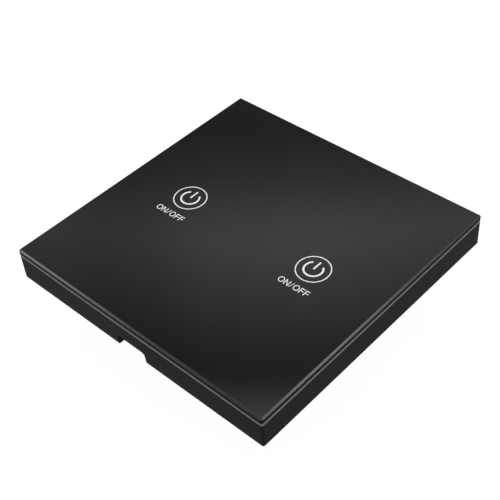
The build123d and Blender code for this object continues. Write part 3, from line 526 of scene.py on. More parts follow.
def bands(tree, way, pitch, bend=0.0):
    """Soft bands across an axis, this many millimetres apart, and bent by some share of that.

    A wave texture repeats at every pi / 10 of its scaled coordinate.
    """
    values = {
        "wave_type": "BANDS", "bands_direction": way, "Scale": math.pi / (10 * pitch * MM),
        "Distortion": bend, "Detail Scale": 0.5,
    }
    return add_node(tree, "ShaderNodeTexWave", values, {"Vector": object_point(tree)}, "Fac")


def solder_mask(name, lift):
    """Glass-fibre board under green solder mask: smooth and glossy, with the cloth just showing.

    Mask over copper is the same ink, paler by the lift.
    """
    material, tree = new_material(name)
    # The cloth's threads are 0.4 mm apart along both sides of the board.
    warp, weft = bands(tree, "X", 0.4, 1.5), bands(tree, "Y", 0.4, 1.5)
    cloth = add_node(tree, "ShaderNodeMath", {"operation": "MULTIPLY"}, {0: warp, 1: weft})
    mask = [min(1.0, lift * v + 0.008 * (lift - 1)) for v in settings("frame").mask_colour]
    face = between(tree, cloth, shaded(mask, 0.9), mask, 0, 1)
    # The sawn edges are bare: yellowish glass and resin.
    sawn = {"data_type": "RGBA", 7: rgba("#a8a06c")}
    edge = {"Factor": facing(tree, 0.0, 0.3), 6: face}
    links = {
        "Base Color": add_node(tree, "ShaderNodeMix", sawn, edge, 2),
        "Roughness": between(tree, grain(tree, 5.0), 0.2, 0.32),
    }
    surface(tree, {"IOR": 1.5}, links, cloth, 0.004)
    return material


def wound_turns(name, first, second, pitch, metallic):
    """Turns of wire or tape side by side round a Z axis, each a rounded ridge one pitch high."""
    material, tree = new_material(name)
    waves = bands(tree, "Z", pitch)
    links = {"Base Color": between(tree, grain(tree, 1.2), first, second)}
    surface(tree, {"Metallic": metallic, "Roughness": 0.32}, links, waves, 0.06)
    return material


def clear_guide():
    """Clear acrylic light guide: polished, with a slight mist from the mould."""
    material, tree = new_material("clear_acrylic")
    values = {"Base Color": rgba("#f4f7f7"), "Transmission Weight": 0.92, "IOR": 1.49}
    surface(tree, values, {"Roughness": between(tree, grain(tree, 1.5), 0.05, 0.14)})
    return material


def finish_table():
    """Make every finish, and give each node's material by the node's name."""
    look = settings("frame")
    housing, relay = look.housing_colour, look.relay_colour
    made = [
        (polished_glass(), "glass_panel"),
        (ground_glass(), ""),
        (seamed_glass(), ""),
        (printed_ink(), "left_touch_symbol right_touch_symbol"),
        (moulded_black(), "panel_frame"),
        (zinc_plate(), "mounting_plate"),
        (clear_guide(), "light_guides"),
        (solder_mask("green_solder_mask", 1.0), "touch_board power_board"),
        (solder_mask("masked_copper_track", 2.1), ""),
        # Polyester tape over the winding: yellow and shiny, lapped in turns.
        (wound_turns("yellow_polyester_tape", "#c79a1c", "#dcb02c", 1.1, 0.0),
         "transformer_winding"),
        # Enamelled wire 0.1 mm thick, drawn three times as coarse so that its turns show.
        (wound_turns("enamelled_copper_wire", "#8a3f1c", "#b05a2c", 0.3, 0.85),
         "left_relay_coil right_relay_coil"),
        # Polycarbonate blend, pale and matt, from a mould eroded to a 0.18 mm grain.
        (plain_finish("moulded_pale_polycarbonate", shaded(housing, 0.93), housing, (0.45, 0.6),
                      0.18, 0.006), "rear_housing"),
        # Moulded polyester: blue, satin.
        (plain_finish("blue_polyester_cover", shaded(relay, 0.85), relay, (0.3, 0.42), 0.25,
                      0.004), "left_relay_case right_relay_case"),
    ]
    for rows, values in ((MATT_FINISHES, {}), (METAL_FINISHES, {"Metallic": 1.0})):
        made += [(plain_finish(*finish, **values), nodes) for nodes, *finish in rows]
    return {node: material for material, nodes in made for node in nodes.split()}


# Surfaces


def box_of(node):
    """A node's lowest and highest corner, its middle and half its size."""
    low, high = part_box(node)
    return low, high, (low + high) / 2, (high - low) / 2


def place_in_scene(name, data):
    """A new object in the scene for a mesh, a lamp or a camera."""
    thing = bpy.data.objects.new(name, data)
    bpy.context.scene.collection.objects.link(thing)
    return thing


def make_piece(name, shape, finishes, body, slot, *replaced):
    """A mesh from a shape, which rides on a body and may stand for nodes.

    A shape is its points, its faces and each face's place among the finishes.
    """
    points, faces, marks = shape
    mesh = bpy.data.meshes.new(name)
    mesh.from_pydata(points.tolist(), [], faces)
    for finish in finishes.split():
        mesh.materials.append(bpy.data.materials[finish])
    mesh.polygons.foreach_set("material_index", np.asarray(marks, np.int32))
    mesh.polygons.foreach_set("use_smooth", np.ones(len(faces), bool))
    mesh.set_sharp_from_angle(angle=math.radians(50))
    mesh.update()
    piece = place_in_scene(name, mesh)
    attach(piece, body)
    if replaced:
        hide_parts(*replaced)


def joined(shapes):
    """Several shapes as one: each one's faces count on from the points before it."""
    points, faces, marks, count = [], [], [], 0
    for some_points, some_faces, some_marks in shapes:
        points.append(some_points)
        faces += [[count + index for index in face] for face in some_faces]
        marks += list(some_marks)
        count += len(some_points)
    return np.vstack(points), faces, marks


def round_angles(count):
    """This many angles round a full turn."""
    return np.linspace(0, 2 * math.pi, count, endpoint=False)


def round_points(middle, radii, angles, z):
    """Points (x + r cos a, y + r sin a, z) about the middle (x, y), from arrays of r, a and z."""
    x, y = middle[0] + radii * np.cos(angles), middle[1] + radii * np.sin(angles)
    return np.stack(np.broadcast_arrays(x, y, z), axis=-1)


def ring_faces(rows, columns, wrap=False):
    """Quads between neighbouring rings of points, and, if wrapped, from the last to the first."""
    last = rows if wrap else rows - 1
    row, column = np.meshgrid(np.arange(last), np.arange(columns), indexing="ij")
    after, above = (column + 1) % columns, (row + 1) % rows
    quads = np.stack(
        [row * columns + column, row * columns + after,
         above * columns + after, above * columns + column], axis=-1
    )
    return quads.reshape(-1, 4).tolist()


def capped(rings, marks=None):
    """Skin over rings of points, closed by a flat face at each end; marks has one entry a row."""
    rows, columns = rings.shape[:2]
    ends = np.arange(columns)
    faces = ring_faces(rows, columns)
    faces += [ends[::-1].tolist(), (ends + (rows - 1) * columns).tolist()]
    marks = [0] * (rows - 1) if marks is None else marks
    owners = np.append(np.repeat(marks, columns), [marks[0], marks[-1]])
    return rings.reshape(-1, 3), faces, owners.tolist()


def wrapped(rings):
    """Skin over rings of points whose last ring joins the first, as round a tube."""
    rows, columns = rings.shape[:2]
    return rings.reshape(-1, 3), ring_faces(rows, columns, True), [0] * (rows * columns)


def soft_profile(corners, width):
    """A profile's corners, each turned into a short curve.

    A corner C between A and B, both one width away, becomes (1-t)^2 A + 2t(1-t) C + t^2 B, and a
    further point half a width beyond A and B keeps the flats flat.
    """
    steps = 4
    corners = np.asarray(corners, float)
    share = np.linspace(0, 1, steps + 1)[:, None]
    rows = [corners[:1]]
    for before, here, after in zip(corners, corners[1:], corners[2:]):
        back = (before - here) / np.linalg.norm(before - here)
        ahead = (after - here) / np.linalg.norm(after - here)
        start, end = here + width * back, here + width * ahead
        bend = (1 - share) ** 2 * start + 2 * share * (1 - share) * here + share ** 2 * end
        rows += [here[None] + 1.5 * width * back, bend, here[None] + 1.5 * width * ahead]
    return np.vstack(rows + [corners[-1:]])


def square_rings(middle, half, radius, insets, heights, steps=6):
    """Rings of a rounded rectangle about a middle, one for each inset and height.

    Round each corner the angle a runs through a quarter turn, and a point is the corner's centre
    plus the radius times (cos a, sin a). The radius shrinks with the inset but not below a tenth.
    """
    quarter = np.linspace(0, math.pi / 2, steps + 1)
    angles = (quarter[None] + math.pi / 2 * np.arange(4)[:, None]).ravel()
    signs = np.repeat([[1, 1], [-1, 1], [-1, -1], [1, -1]], steps + 1, axis=0)
    insets, heights = np.asarray(insets, float), np.asarray(heights, float)
    bend = np.maximum(radius - insets, 0.1 * radius)[:, None]
    x = middle[0] + signs[:, 0] * (half[0] - insets[:, None] - bend) + bend * np.cos(angles)
    y = middle[1] + signs[:, 1] * (half[1] - insets[:, None] - bend) + bend * np.sin(angles)
    return np.stack([x, y, np.broadcast_to(heights[:, None], x.shape)], axis=-1)


def soft_block(middle, half, edge, mark):
    """A block with rounded edges.

    With the angle p from 0 to a quarter turn, the lowest rings are inset by e (1 - sin p) and lie
    e (1 - cos p) above the underside, and the highest rings mirror them.
    """
    steps = 3
    turn = np.linspace(0, math.pi / 2, steps + 1)
    inset, rise = edge * (1 - np.sin(turn)), edge * (1 - np.cos(turn))
    insets = np.concatenate([inset, inset[::-1]])
    heights = middle[2] + np.concatenate([rise - half[2], half[2] - rise[::-1]])
    rings = square_rings(middle, half, edge, insets, heights, steps)
    return capped(rings, [mark] * (len(insets) - 1))


def turned(profile, middle, way, columns, marks=None):
    """A profile of (radius, height) turned round an axis.

    At the angle a, a profile point (r, h) becomes middle + r cos a U + r sin a V + h W, where W is
    the axis, and U and V stand square to it and to each other.
    """
    profile = np.asarray(profile, float)
    axis = Vector(way).normalized()
    first = axis.orthogonal().normalized()
    second = axis.cross(first)
    angle = round_angles(columns)[:, None]
    circle = np.cos(angle) * np.array(first) + np.sin(angle) * np.array(second)
    rings = profile[:, 0, None, None] * circle + profile[:, 1, None, None] * np.array(axis)
    return capped(rings + np.array(middle, float), marks)


def glass_plate(look):
    """Glass plate: a profile of flats and soft edges carried round a square.

    The profile is a list of (inset from the side, height): under face, side, bevel and top.
    """
    low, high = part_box("glass_panel")
    bevel = look.bevel
    # The profile's ends lie inside the bevel, where only flat faces are left.
    corners = [
        (2 * bevel, low.z), (0, low.z), (0, high.z - bevel), (bevel, high.z), (2.5 * bevel, high.z)
    ]
    profile = soft_profile(corners, look.arris)
    rings = square_rings(
        (0, 0), (high.x, high.y), look.corner_radius, profile[:, 0], profile[:, 1]
    )
    middle = (profile[1:] + profile[:-1]) / 2
    outside = middle[:, 0] < bevel
    cut = outside & (middle[:, 1] > high.z - bevel)
    shape = capped(rings, (cut + 2 * (outside & ~cut)).tolist())
    finishes = "polished_float_glass ground_glass_edge seamed_glass_side"
    make_piece("glass_plate", shape, finishes, "panel", "glass", "glass_panel")


def relay_coil(look, side):
    """Coil of a relay: its outside is a helix of round ridges, its inside a plain hole.

    At the angle a and height z the outer radius is R - d (1 - |sin(n pi t + a / 2)|), where t runs
    from 0 to 1 up the coil, n is the number of turns and d the depth of the groove.
    """
    node = side + "_relay_coil"
    low, high, middle, half = box_of(node)
    turns = round(2 * half.z / look.wire_pitch)
    rows_a_turn, columns = 8, 72
    share = np.linspace(0, 1, rows_a_turn * turns + 1)[:, None]
    angle = round_angles(columns)[None]
    groove = 1 - np.abs(np.sin(turns * math.pi * share + angle / 2))
    hole = np.full((1, columns), look.coil_hole)
    radii = np.vstack([hole, half.x - look.wire_ridge * groove, hole])
    z = low.z + (high.z - low.z) * np.vstack([[[0.0]], share, [[1.0]]])
    shape = wrapped(round_points(middle, radii, angle, z))
    name = side + "_relay_winding"
    make_piece(name, shape, "enamelled_copper_wire", "base", "copper_wire", node)


def taped_winding(look):
    """Transformer winding under polyester tape: rounded rectangles that belly out in the middle.

    A share t of the way up, a ring is inset by b |2t - 1|^3, and by one lap more beyond each edge
    of the outer turn of tape.
    """
    low, high, middle, half = box_of("transformer_winding")
    share = np.array([0, 0.06, 0.15, 0.24, 0.25, 0.38, 0.5, 0.62, 0.75, 0.76, 0.85, 0.94, 1.0])
    outer_turn = np.abs(share - 0.5) < 0.255
    belly, corner, hole, hole_corner = 0.35 * MM, 1.2 * MM, (2.35 * MM, 2.95 * MM), 0.4 * MM
    insets = belly * np.abs(2 * share - 1) ** 3 + np.where(outer_turn, 0, look.tape_lap)
    outside = square_rings(middle, half, corner, insets, low.z + 2 * half.z * share)
    inside = square_rings(middle, hole, hole_corner, [0, 0], [low.z, high.z])
    rings = np.concatenate([inside[:1], outside, inside[1:]])
    make_piece(
        "taped_winding", wrapped(rings), "yellow_polyester_tape", "base", "tape_yellow",
        "transformer_winding",
    )


def chip_parts(look):
    """Ten chips on the touch board: a body between two tinned ends, all with soft edges.

    A body is a little lower and narrower than its ends, and reaches under them.
    """
    low, high, middle, half = box_of("touch_board_parts")
    columns = np.linspace(low.x + look.chip_length / 2, high.x - look.chip_length / 2, 5)
    rows = (low.y + look.chip_width / 2, high.y - look.chip_width / 2)
    body = (look.chip_length / 2 - 0.8 * look.chip_cap, 0.47 * look.chip_width, 0.92 * half.z)
    cap = (look.chip_cap / 2, look.chip_width / 2, half.z)
    body_edge, cap_edge = 0.06 * MM, 0.12 * MM
    reach = (look.chip_length - look.chip_cap) / 2
    shapes = []
    for index, x in enumerate(columns):
        for row, y in enumerate(rows):
            shapes.append(soft_block((x, y, middle.z), body, body_edge, (index + row) % 2))
            for end in (x - reach, x + reach):
                shapes.append(soft_block((end, y, middle.z), cap, cap_edge, 2))
    make_piece(
        "chip_parts", joined(shapes), "chip_ceramic chip_glaze tin_solder", "base",
        "small_parts", "touch_board_parts",
    )


def solder_joint(look, x, y, z, way):
    """A joint whose side curves in from its pad to the lead, round an upright axis."""
    # Shares of the joint's radius and of its height; the lead stands out at the top.
    shares = [(1, 0), (0.96, 0.06), (0.74, 0.24), (0.58, 0.5), (0.48, 0.8), (0.4, 1), (0.2, 1.1)]
    profile = [(a * look.solder_radius, b * look.solder_height) for a, b in shares]
    return turned(profile, (x, y, z), (0, 0, way), columns=16)


def bar_joint(x, y, level):
    """A flat block of solder over the foot of a terminal's bar, its sides drawn in as it rises."""
    insets = np.array([0, 0.04, 0.2, 0.3, 0.34]) * MM
    heights = level + np.array([0, 0.03, 0.14, 0.3, 0.36]) * MM
    half, corner = (2.1 * MM, 0.8 * MM), 0.5 * MM
    return capped(square_rings((x, y), half, corner, insets, heights))


def solder_joints(look):
    """Joints on the power board: one at each lead, plug pin and terminal bar."""
    under, over = (corner.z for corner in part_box("power_board"))
    shapes = []
    for node, places, edge, inset in LEADS:
        _, _, middle, half = box_of(node)
        y = middle.y + edge * (half.y - inset * MM)
        shapes += [solder_joint(look, middle.x + x * MM, y, over, 1) for x in places]
    low, high, middle, _ = box_of("header_pins")
    # Five pins, each in the middle of a fifth of the row.
    pins = np.linspace(low.x, high.x, 11)[1::2]
    shapes += [solder_joint(look, x, middle.y, under, -1) for x in pins]
    low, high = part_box("terminal_bars")
    # The outer bars' feet lie inwards of the row's ends, and all three 0.4 mm from its edge.
    feet = np.linspace(low.x, high.x, 3) + np.array([1.7, 0, -1.7]) * MM
    shapes += [bar_joint(x, high.y - 0.4 * MM, over) for x in feet]
    make_piece("solder_joints", joined(shapes), "tin_solder", "base", "contact_alloy")


def spring_pads():
    """Tinned ring on the touch board under each spring: a flat tube carried round a circle.

    At the angle t round the tube, the ring's radius is R + w cos t and its height h (1 + sin t).
    """
    wire_radius, half_width, half_height = 0.25 * MM, 0.55 * MM, 0.035 * MM
    turn, angle = round_angles(12)[:, None], round_angles(64)[None]
    shapes = []
    for side in ("left", "right"):
        low, _, middle, half = box_of(side + "_touch_spring")
        reach = half.x - wire_radius + half_width * np.cos(turn)
        z = low.z + half_height * (1 + np.sin(turn))
        shapes.append(wrapped(round_points(middle, reach, angle, z)))
    make_piece("spring_pads", joined(shapes), "tin_solder", "base", "contact_alloy")


def smoothing_can():
    """Electrolytic can: rubber bung, rolled groove, sleeve and a scored aluminium end.

    It is a turned profile, and over its end two scores are pressed in crosswise: the depth is
    d exp(-(m / w)^2), where m is the smaller of the distances from the two lines.
    """
    low, high, middle, half = box_of("supply_capacitor")
    full, tall = half.x, high.z - low.z
    end_dip, score_depth, score_width, score_reach = 0.18 * MM, 0.16 * MM, 0.2 * MM, 0.72 * full
    profile = [(share * full, height * MM) for share, height in CAN_FOOT]
    profile += [(share * full, tall - drop * MM) for share, drop in CAN_TOP]
    profile += [(share * full, tall - end_dip) for share in CAN_END]
    bung, sleeve = 3, 12
    marks = [0] * bung + [1] * sleeve + [2] * (len(profile) - 1 - bung - sleeve)
    foot = (middle.x, middle.y, high.z)
    points, faces, marks = turned(profile, foot, (0, 0, -1), columns=96, marks=marks)
    away = points[:, :2] - foot[:2]
    across = np.abs(away).min(axis=1)
    scored = np.hypot(*away.T) < score_reach
    points[:, 2] += scored * score_depth * np.exp(-(across / score_width) ** 2)
    make_piece(
        "smoothing_can", (points, faces, marks),
        "black_rubber_bung shrink_sleeve can_aluminium", "base", "can_sleeve",
        "supply_capacitor",
    )


def dipped_disc(look):
    """Varistor: a lens with a round rim, its skin lumpy, on two leads with epoxy run down them.

    The half thickness is w (1 - (r / R)^4)^(1/2), times 1 - 0.04 (1 + sin 5a) (r / R) (1 - r / R).
    """
    low, high, middle, half = box_of("varistor")
    radius = half.x
    middle.z = low.z + radius
    # Each side starts a little off the axis, where a small flat face closes it.
    rows, start = 16, 0.02
    share = np.sin(np.linspace(start, math.pi / 2, rows))
    thick = half.y * np.sqrt(1 - share ** 4)
    profile = np.vstack([
        np.stack([radius * share, -thick], axis=-1),
        np.stack([radius * share, thick], axis=-1)[-2::-1],
    ])
    points, faces, marks = turned(profile, middle, (0, 1, 0), columns=64)
    away = points - np.array(middle)
    reach = np.hypot(away[:, 0], away[:, 2]) / radius
    angle = np.arctan2(away[:, 2], away[:, 0])
    away[:, 1] *= 1 - 0.04 * (1 + np.sin(5 * angle)) * reach * (1 - reach)
    shapes = [(np.array(middle) + away, faces, marks)]
    lead = [(look.lead_radius, 0), (look.lead_radius, high.z - middle.z)]
    run = [(r * MM, h * MM) for r, h in EPOXY_RUN]
    lead_reach = 2.5 * MM
    for x in (middle.x - lead_reach, middle.x + lead_reach):
        foot = (x, middle.y, high.z)
        shapes.append(turned(lead, foot, (0, 0, -1), columns=16, marks=[1]))
        shapes.append(turned(run, foot, (0, 0, -1), columns=24))
    make_piece(
        "dipped_disc", joined(shapes), "dipped_blue_epoxy tin_solder", "base", "varistor_blue",
        "varistor",
    )


def thread(middle, radius, crest, pitch, heights):
    """A screw thread: a three-cornered ridge carried up a helix, sunk in the shank at its ends.

    Along the helix the angle is 2 pi (z - z0) / p. The section's corners lie inside the shank a
    third of a pitch below and above z, and on the crest at z. The crest rises to its full
    height over the first half turn, and falls over the last.
    """
    low, high = heights
    turns = (high - low) / pitch
    rows_a_turn, rise, least, root = 40, 0.5, 0.1, 0.9 * radius
    share = np.linspace(0, 1, int(turns * rows_a_turn))[:, None]
    fade = np.clip(np.minimum(share, 1 - share) * turns / rise, least, 1)
    radii = root + (crest - root) * fade * np.array([[0, 0, 1]])
    angle = 2 * math.pi * turns * share
    z = low + (high - low) * share + np.array([[-0.33, 0.33, 0.0]]) * pitch
    return capped(round_points(middle, radii, angle, z))


def screw_threads():
    """Threads of the housing's screws and of the terminals' screws."""
    low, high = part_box("housing_screws")
    # Self-tapping screws, 2.7 mm across their threads.
    head_radius, tip, cut = 2.3 * MM, 0.4 * MM, 7 * MM
    place, span = high.x - head_radius, (low.z + tip, low.z + cut)
    shapes = [
        thread((x * place, y * place), 1.1 * MM, 1.36 * MM, 0.8 * MM, span)
        for x in (-1, 1) for y in (-1, 1)
    ]
    name = "housing_screw_threads"
    make_piece(name, joined(shapes), "zinc_plated_screw", "base", "screw_steel")
    # Machine screws, 3 mm across, drawn a little proud of the solid shank.
    head, tip = 2.2 * MM, 0.2 * MM
    for index in (1, 2, 3):
        node = f"terminal_screw_{index}"
        low, high, middle, _ = box_of(node)
        span = (low.z + head, high.z - tip)
        shape = thread(middle, 1.5 * MM, 1.56 * MM, 0.5 * MM, span)
        make_piece(f"{node}_thread", shape, "zinc_plated_screw", f"screw_{index}", "screw_steel")


def letters(words, height, relief, place, turn):
    """Printed words as a closed shape: the letters' outlines carried out by a relief to each side.

    The mesh of a text keeps its faces and sides apart, so their shared points are merged.
    """
    text = bpy.data.curves.new(words, "FONT")
    text.body, text.size, text.resolution_u = words, height / CAPITAL_SHARE, 4
    text.align_x, text.align_y = "CENTER", "BOTTOM_BASELINE"
    text.extrude = relief
    carrier = bpy.data.objects.new(words, text)
    mesh = bpy.data.meshes.new_from_object(carrier)
    bpy.data.objects.remove(carrier)
    solid = bmesh.new()
    solid.from_mesh(mesh)
    bmesh.ops.remove_doubles(solid, verts=solid.verts, dist=0.1 * PRINT_RELIEF)
    solid.to_mesh(mesh)
    solid.free()
    mesh.transform(Matrix.Translation(place) @ turn)
    points = np.empty(3 * len(mesh.vertices))
    mesh.vertices.foreach_get("co", points)
    faces = [list(face.vertices) for face in mesh.polygons]
    bpy.data.meshes.remove(mesh)
    return points.reshape(-1, 3), faces, [0] * len(faces)


def wire_marks(look):
    """Letters above the wire holes: the mains lead in the middle, a lamp on each side."""
    low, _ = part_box("rear_housing")
    upright = Matrix.Rotation(math.pi / 2, 4, "X")
    for words, x in WIRE_MARKS:
        spot = Vector((x * MM, low.y, WIRE_MARK_LEVEL))
        shape = letters(words, look.mark_height, look.mark_relief, spot, upright)
        make_piece("wire_mark_" + words, shape, "dark_pad_print", "base", "black_print")


def part_marks(look):
    """Ratings printed in two lines on the rear of the relays, the fuse and the film capacitor."""
    behind = Matrix.Rotation(math.pi, 4, "Y")
    # The base lines' places from the middle, in heights of the letters.
    first_line, line_spacing = 0.3, 1.5
    inks = {}
    for node, ink, lines in PART_MARKS:
        low, _, middle, _ = box_of(node)
        for line, words in enumerate(lines):
            y = middle.y + (first_line - line_spacing * line) * look.rating_height
            spot = Vector((middle.x, y, low.z))
            shape = letters(words, look.rating_height, PRINT_RELIEF, spot, behind)
            inks.setdefault(ink, []).append(shape)
    for ink, slot in (("white_legend_ink", "white_print"), ("dark_pad_print", "black_print")):
        make_piece("ratings_in_" + slot, joined(inks[ink]), ink, "base", slot)


def track(path, width, height, level):
    """A copper track under mask: a low flat-topped section carried along a path of straight runs.

    At each bend the section stands on the line that halves the angle, drawn out by 1 / cos(b / 2)
    where b is the bend, so that the track keeps its width.
    """
    path = np.asarray(path, float) * MM
    runs = np.diff(path, axis=0)
    runs /= np.linalg.norm(runs, axis=1)[:, None]
    before, after = np.vstack([runs[:1], runs]), np.vstack([runs, runs[-1:]])
    side = before + after
    side /= np.linalg.norm(side, axis=1)[:, None]
    side = np.stack([side[:, 1], -side[:, 0]], axis=-1) / (side * before).sum(axis=1)[:, None]
    # The sides lean in by a fifth, and the feet are sunk in the board by a fifth of the height.
    across = np.array([-1, -0.8, 0.8, 1]) * width / 2
    rise = level + np.array([-0.2, 1, 1, -0.2]) * height
    flat = path[:, None] + across[None, :, None] * side[:, None]
    return capped(
        np.concatenate([flat, np.broadcast_to(rise[None, :, None], (*flat.shape[:2], 1))], -1)
    )


def board_tracks(look):
    """Tracks, vias and printed marks on the face of the touch board."""
    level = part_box("touch_board")[1].z
    height = look.track_height
    via = [(0.34 * MM, 0), (0.32 * MM, height), (0.16 * MM, height), (0.13 * MM, 0.4 * height)]
    # An open ring round each spring, in mm, whose gap faces the board's middle.
    ring_radius, gap, corners = 5.1, 0.12, 73
    turn = np.linspace(gap, 2 * math.pi - gap, corners)
    ring = ring_radius * np.stack([np.cos(turn), np.sin(turn)], axis=-1)
    shapes, dots = [], []
    for side, way in (("left", -1), ("right", 1)):
        for path in np.array(TRACK_PATHS) * (way, 1):
            shapes.append(track(path, look.track_width, height, level))
            dots.append(turned(via, (*path[-1] * MM, level), (0, 0, 1), columns=20))
        middle = box_of(side + "_touch_spring")[2]
        around = np.array(middle.xy) / MM - way * ring
        shapes.append(track(around, 2 * look.track_width, height, level))
    make_piece("board_tracks", joined(shapes), "masked_copper_track", "base", "board")
    make_piece("board_vias", joined(dots), "tin_solder", "base", "contact_alloy")
    marks = [
        letters(words, BOARD_MARK_HEIGHT, PRINT_RELIEF,
                Vector((x * MM, y * MM, level)), Matrix.Identity(4))
        for words, x, y in BOARD_MARKS
    ]
    make_piece("board_marks", joined(marks), "white_legend_ink", "base", "white_print")


# Stage


def make_camera(look):
    """A camera at the photograph's angle, aimed a little beside the middle of the face."""
    data = bpy.data.cameras.new("camera")
    data.sensor_width, data.lens, data.clip_start = 36.0, look.lens, 0.01
    camera = place_in_scene("camera", data)
    camera.matrix_world = (
        Matrix.Translation(CAMERA_TARGET)
        @ Matrix.Rotation(look.azimuth, 4, "Z")
        @ Matrix.Rotation(math.pi / 2 - look.elevation, 4, "X")
        @ Matrix.Rotation(look.roll, 4, "Z")
        @ Matrix.Translation((0, 0, look.distance))
    )
    bpy.context.scene.camera = camera


def make_floor(look):
    """A pale floor just under the housing's rear: white to the eye, with the shadow kept.

    Seen straight or in a gloss, nine tenths of it glows white and the rest is paint that takes the
    shadow. To all other light it is paint only, and from below it can be seen through.
    """
    gap, columns, radii = 0.02 * MM, 96, np.array([[0.2], [0.6], [1.4], [3.0]])
    points = round_points((0, 0), radii, round_angles(columns), cad_box[0].z - gap)
    faces = [face[::-1] for face in ring_faces(len(radii), columns)]
    faces.append(list(range(columns)))
    mesh = bpy.data.meshes.new("floor")
    mesh.from_pydata(points.reshape(-1, 3).tolist(), [], faces)
    floor = place_in_scene("floor", mesh)
    material, tree = new_material("pale_studio_floor")
    seen = add_node(tree, "ShaderNodeLightPath", out="Is Camera Ray")
    rays = seen.node.outputs
    for ray in ("Is Glossy Ray", "Is Transmission Ray"):
        seen = add_node(tree, "ShaderNodeMath", {"operation": "MAXIMUM"}, {0: seen, 1: rays[ray]})
    share = add_node(tree, "ShaderNodeMath", {"operation": "MULTIPLY", 1: 0.9}, {0: seen})
    paint = add_node(tree, "ShaderNodeBsdfDiffuse", {"Color": rgba(look.floor_colour)})
    glow = add_node(tree, "ShaderNodeEmission", {"Color": (1, 1, 1, 1), "Strength": 1.05})
    front = add_node(tree, "ShaderNodeMixShader", None, {0: share, 1: paint, 2: glow})
    through = add_node(tree, "ShaderNodeBsdfTransparent")
    side = add_node(tree, "ShaderNodeNewGeometry", out="Backfacing")
    both = add_node(tree, "ShaderNodeMixShader", None, {0: side, 1: front, 2: through})
    add_node(tree, "ShaderNodeOutputMaterial", None, {"Surface": both})
    mesh.materials.append(material)


def light_ramp(tree, value, low, high, stops):
    """A level that runs straight from stop to stop, for a value between low and high."""
    place = between(tree, value, 0, 1, low, high)
    ramp = add_node(tree, "ShaderNodeValToRGB", None, {0: place})
    points = ramp.node.color_ramp.elements
    while len(points) < len(stops):
        points.new(0.5)
    for point, (at, level) in zip(points, stops):
        point.position = (at - low) / (high - low)
        point.color = (level, level, level, 1)
    return ramp


def make_world(look):
    """Light all round: white at the horizon, dim above it, a soft band half way up, a bright top.

    The band is what the glass shows, and it is dimmer towards the left of the room.
    """
    world = bpy.data.worlds.new("studio")
    world.use_nodes = True
    tree = world.node_tree
    tree.nodes.clear()
    way = add_node(tree, "ShaderNodeTexCoord", out="Generated")
    height = add_node(tree, "ShaderNodeSeparateXYZ", None, {0: way}, "Z")
    right = {"operation": "DOT_PRODUCT", 1: (math.cos(look.azimuth), math.sin(look.azimuth), 0)}
    across = add_node(tree, "ShaderNodeVectorMath", right, {0: way}, "Value")
    # The room's edges run straight, so the band seen as h lies at h (1 + a^2) - 0.07 a.
    near = between(tree, across, -0.25, 0.25, -0.25, 0.25)
    product, scaled = {"operation": "MULTIPLY"}, {"operation": "MULTIPLY_ADD"}
    bend = add_node(tree, "ShaderNodeMath", scaled | {2: 1.0}, {0: near, 1: near})
    bent = add_node(tree, "ShaderNodeMath", product, {0: height, 1: bend})
    tilted = add_node(tree, "ShaderNodeMath", scaled | {1: -0.07}, {0: near, 2: bent})
    level = light_ramp(tree, tilted, 0.0, 1.0, SKY_BANDS)
    # The fade sets in above the horizon, so that the ground's white stays even.
    fade = light_ramp(tree, across, -1.0, 1.0, SKY_FADE)
    lifted = between(tree, height, 0, 1, 0.2, 0.4)
    even = {"data_type": "FLOAT", "A": 1.0}
    dimmer = add_node(tree, "ShaderNodeMix", even, {"Factor": lifted, "B": fade})
    both = add_node(tree, "ShaderNodeMath", product, {0: level, 1: dimmer})
    glow = add_node(
        tree, "ShaderNodeBackground", {"Strength": look.light_level}, {"Color": both}
    )
    add_node(tree, "ShaderNodeOutputWorld", None, {"Surface": glow})
    bpy.context.scene.world = world


def make_lamp(name, way, width, height, radiance):
    """A square lamp that faces the switch from a direction, with a given brightness as seen."""
    data = bpy.data.lights.new(name, "AREA")
    data.shape, data.size, data.size_y = "RECTANGLE", width, height
    data.energy = radiance * math.pi * width * height
    lamp = place_in_scene(name, data)
    direction = Vector(way).normalized()
    lamp.location = direction * LAMP_DISTANCE
    lamp.rotation_mode = "QUATERNION"
    lamp.rotation_quaternion = direction.to_track_quat("Z", "Y")
    lamp.visible_camera = False


# Operators


class TOUCH_SWITCH_OT_glass(bpy.types.Operator):
    """Build the glass plate with its ground bevel and soft edges"""

    bl_idname = "touch_switch.glass"
    bl_label = "Glass plate"

    def execute(self, context):
        glass_plate(settings("glass"))
        return {"FINISHED"}


class TOUCH_SWITCH_OT_finishes(bpy.types.Operator):
    """Give every part of the model its material"""

    bl_idname = "touch_switch.finishes"
    bl_label = "Finishes"

    def execute(self, context):
        table = finish_table()
        missing = set(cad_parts) - set(table)
        if missing:
            raise RuntimeError(f"no finish for {sorted(missing)}")
        for node, material in table.items():
            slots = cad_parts[node].material_slots
            if not slots:
                raise RuntimeError(f"{node} has no material slot")
            for slot in slots:
                slot.material = material
        return {"FINISHED"}


class TOUCH_SWITCH_OT_windings(bpy.types.Operator):
    """Wind the relay coils and tape the transformer's winding"""

    bl_idname = "touch_switch.windings"
    bl_label = "Windings"

    def execute(self, context):
        look = settings("winding")
        for side in ("left", "right"):
            relay_coil(look, side)
        taped_winding(look)
        return {"FINISHED"}


class TOUCH_SWITCH_OT_board_parts(bpy.types.Operator):
    """Build the chips, the soldered joints, the tracks and the pads under the springs"""

    bl_idname = "touch_switch.board_parts"
    bl_label = "Board parts"

    def execute(self, context):
        look = settings("board")
        chip_parts(look)
        solder_joints(look)
        spring_pads()
        board_tracks(look)
        return {"FINISHED"}


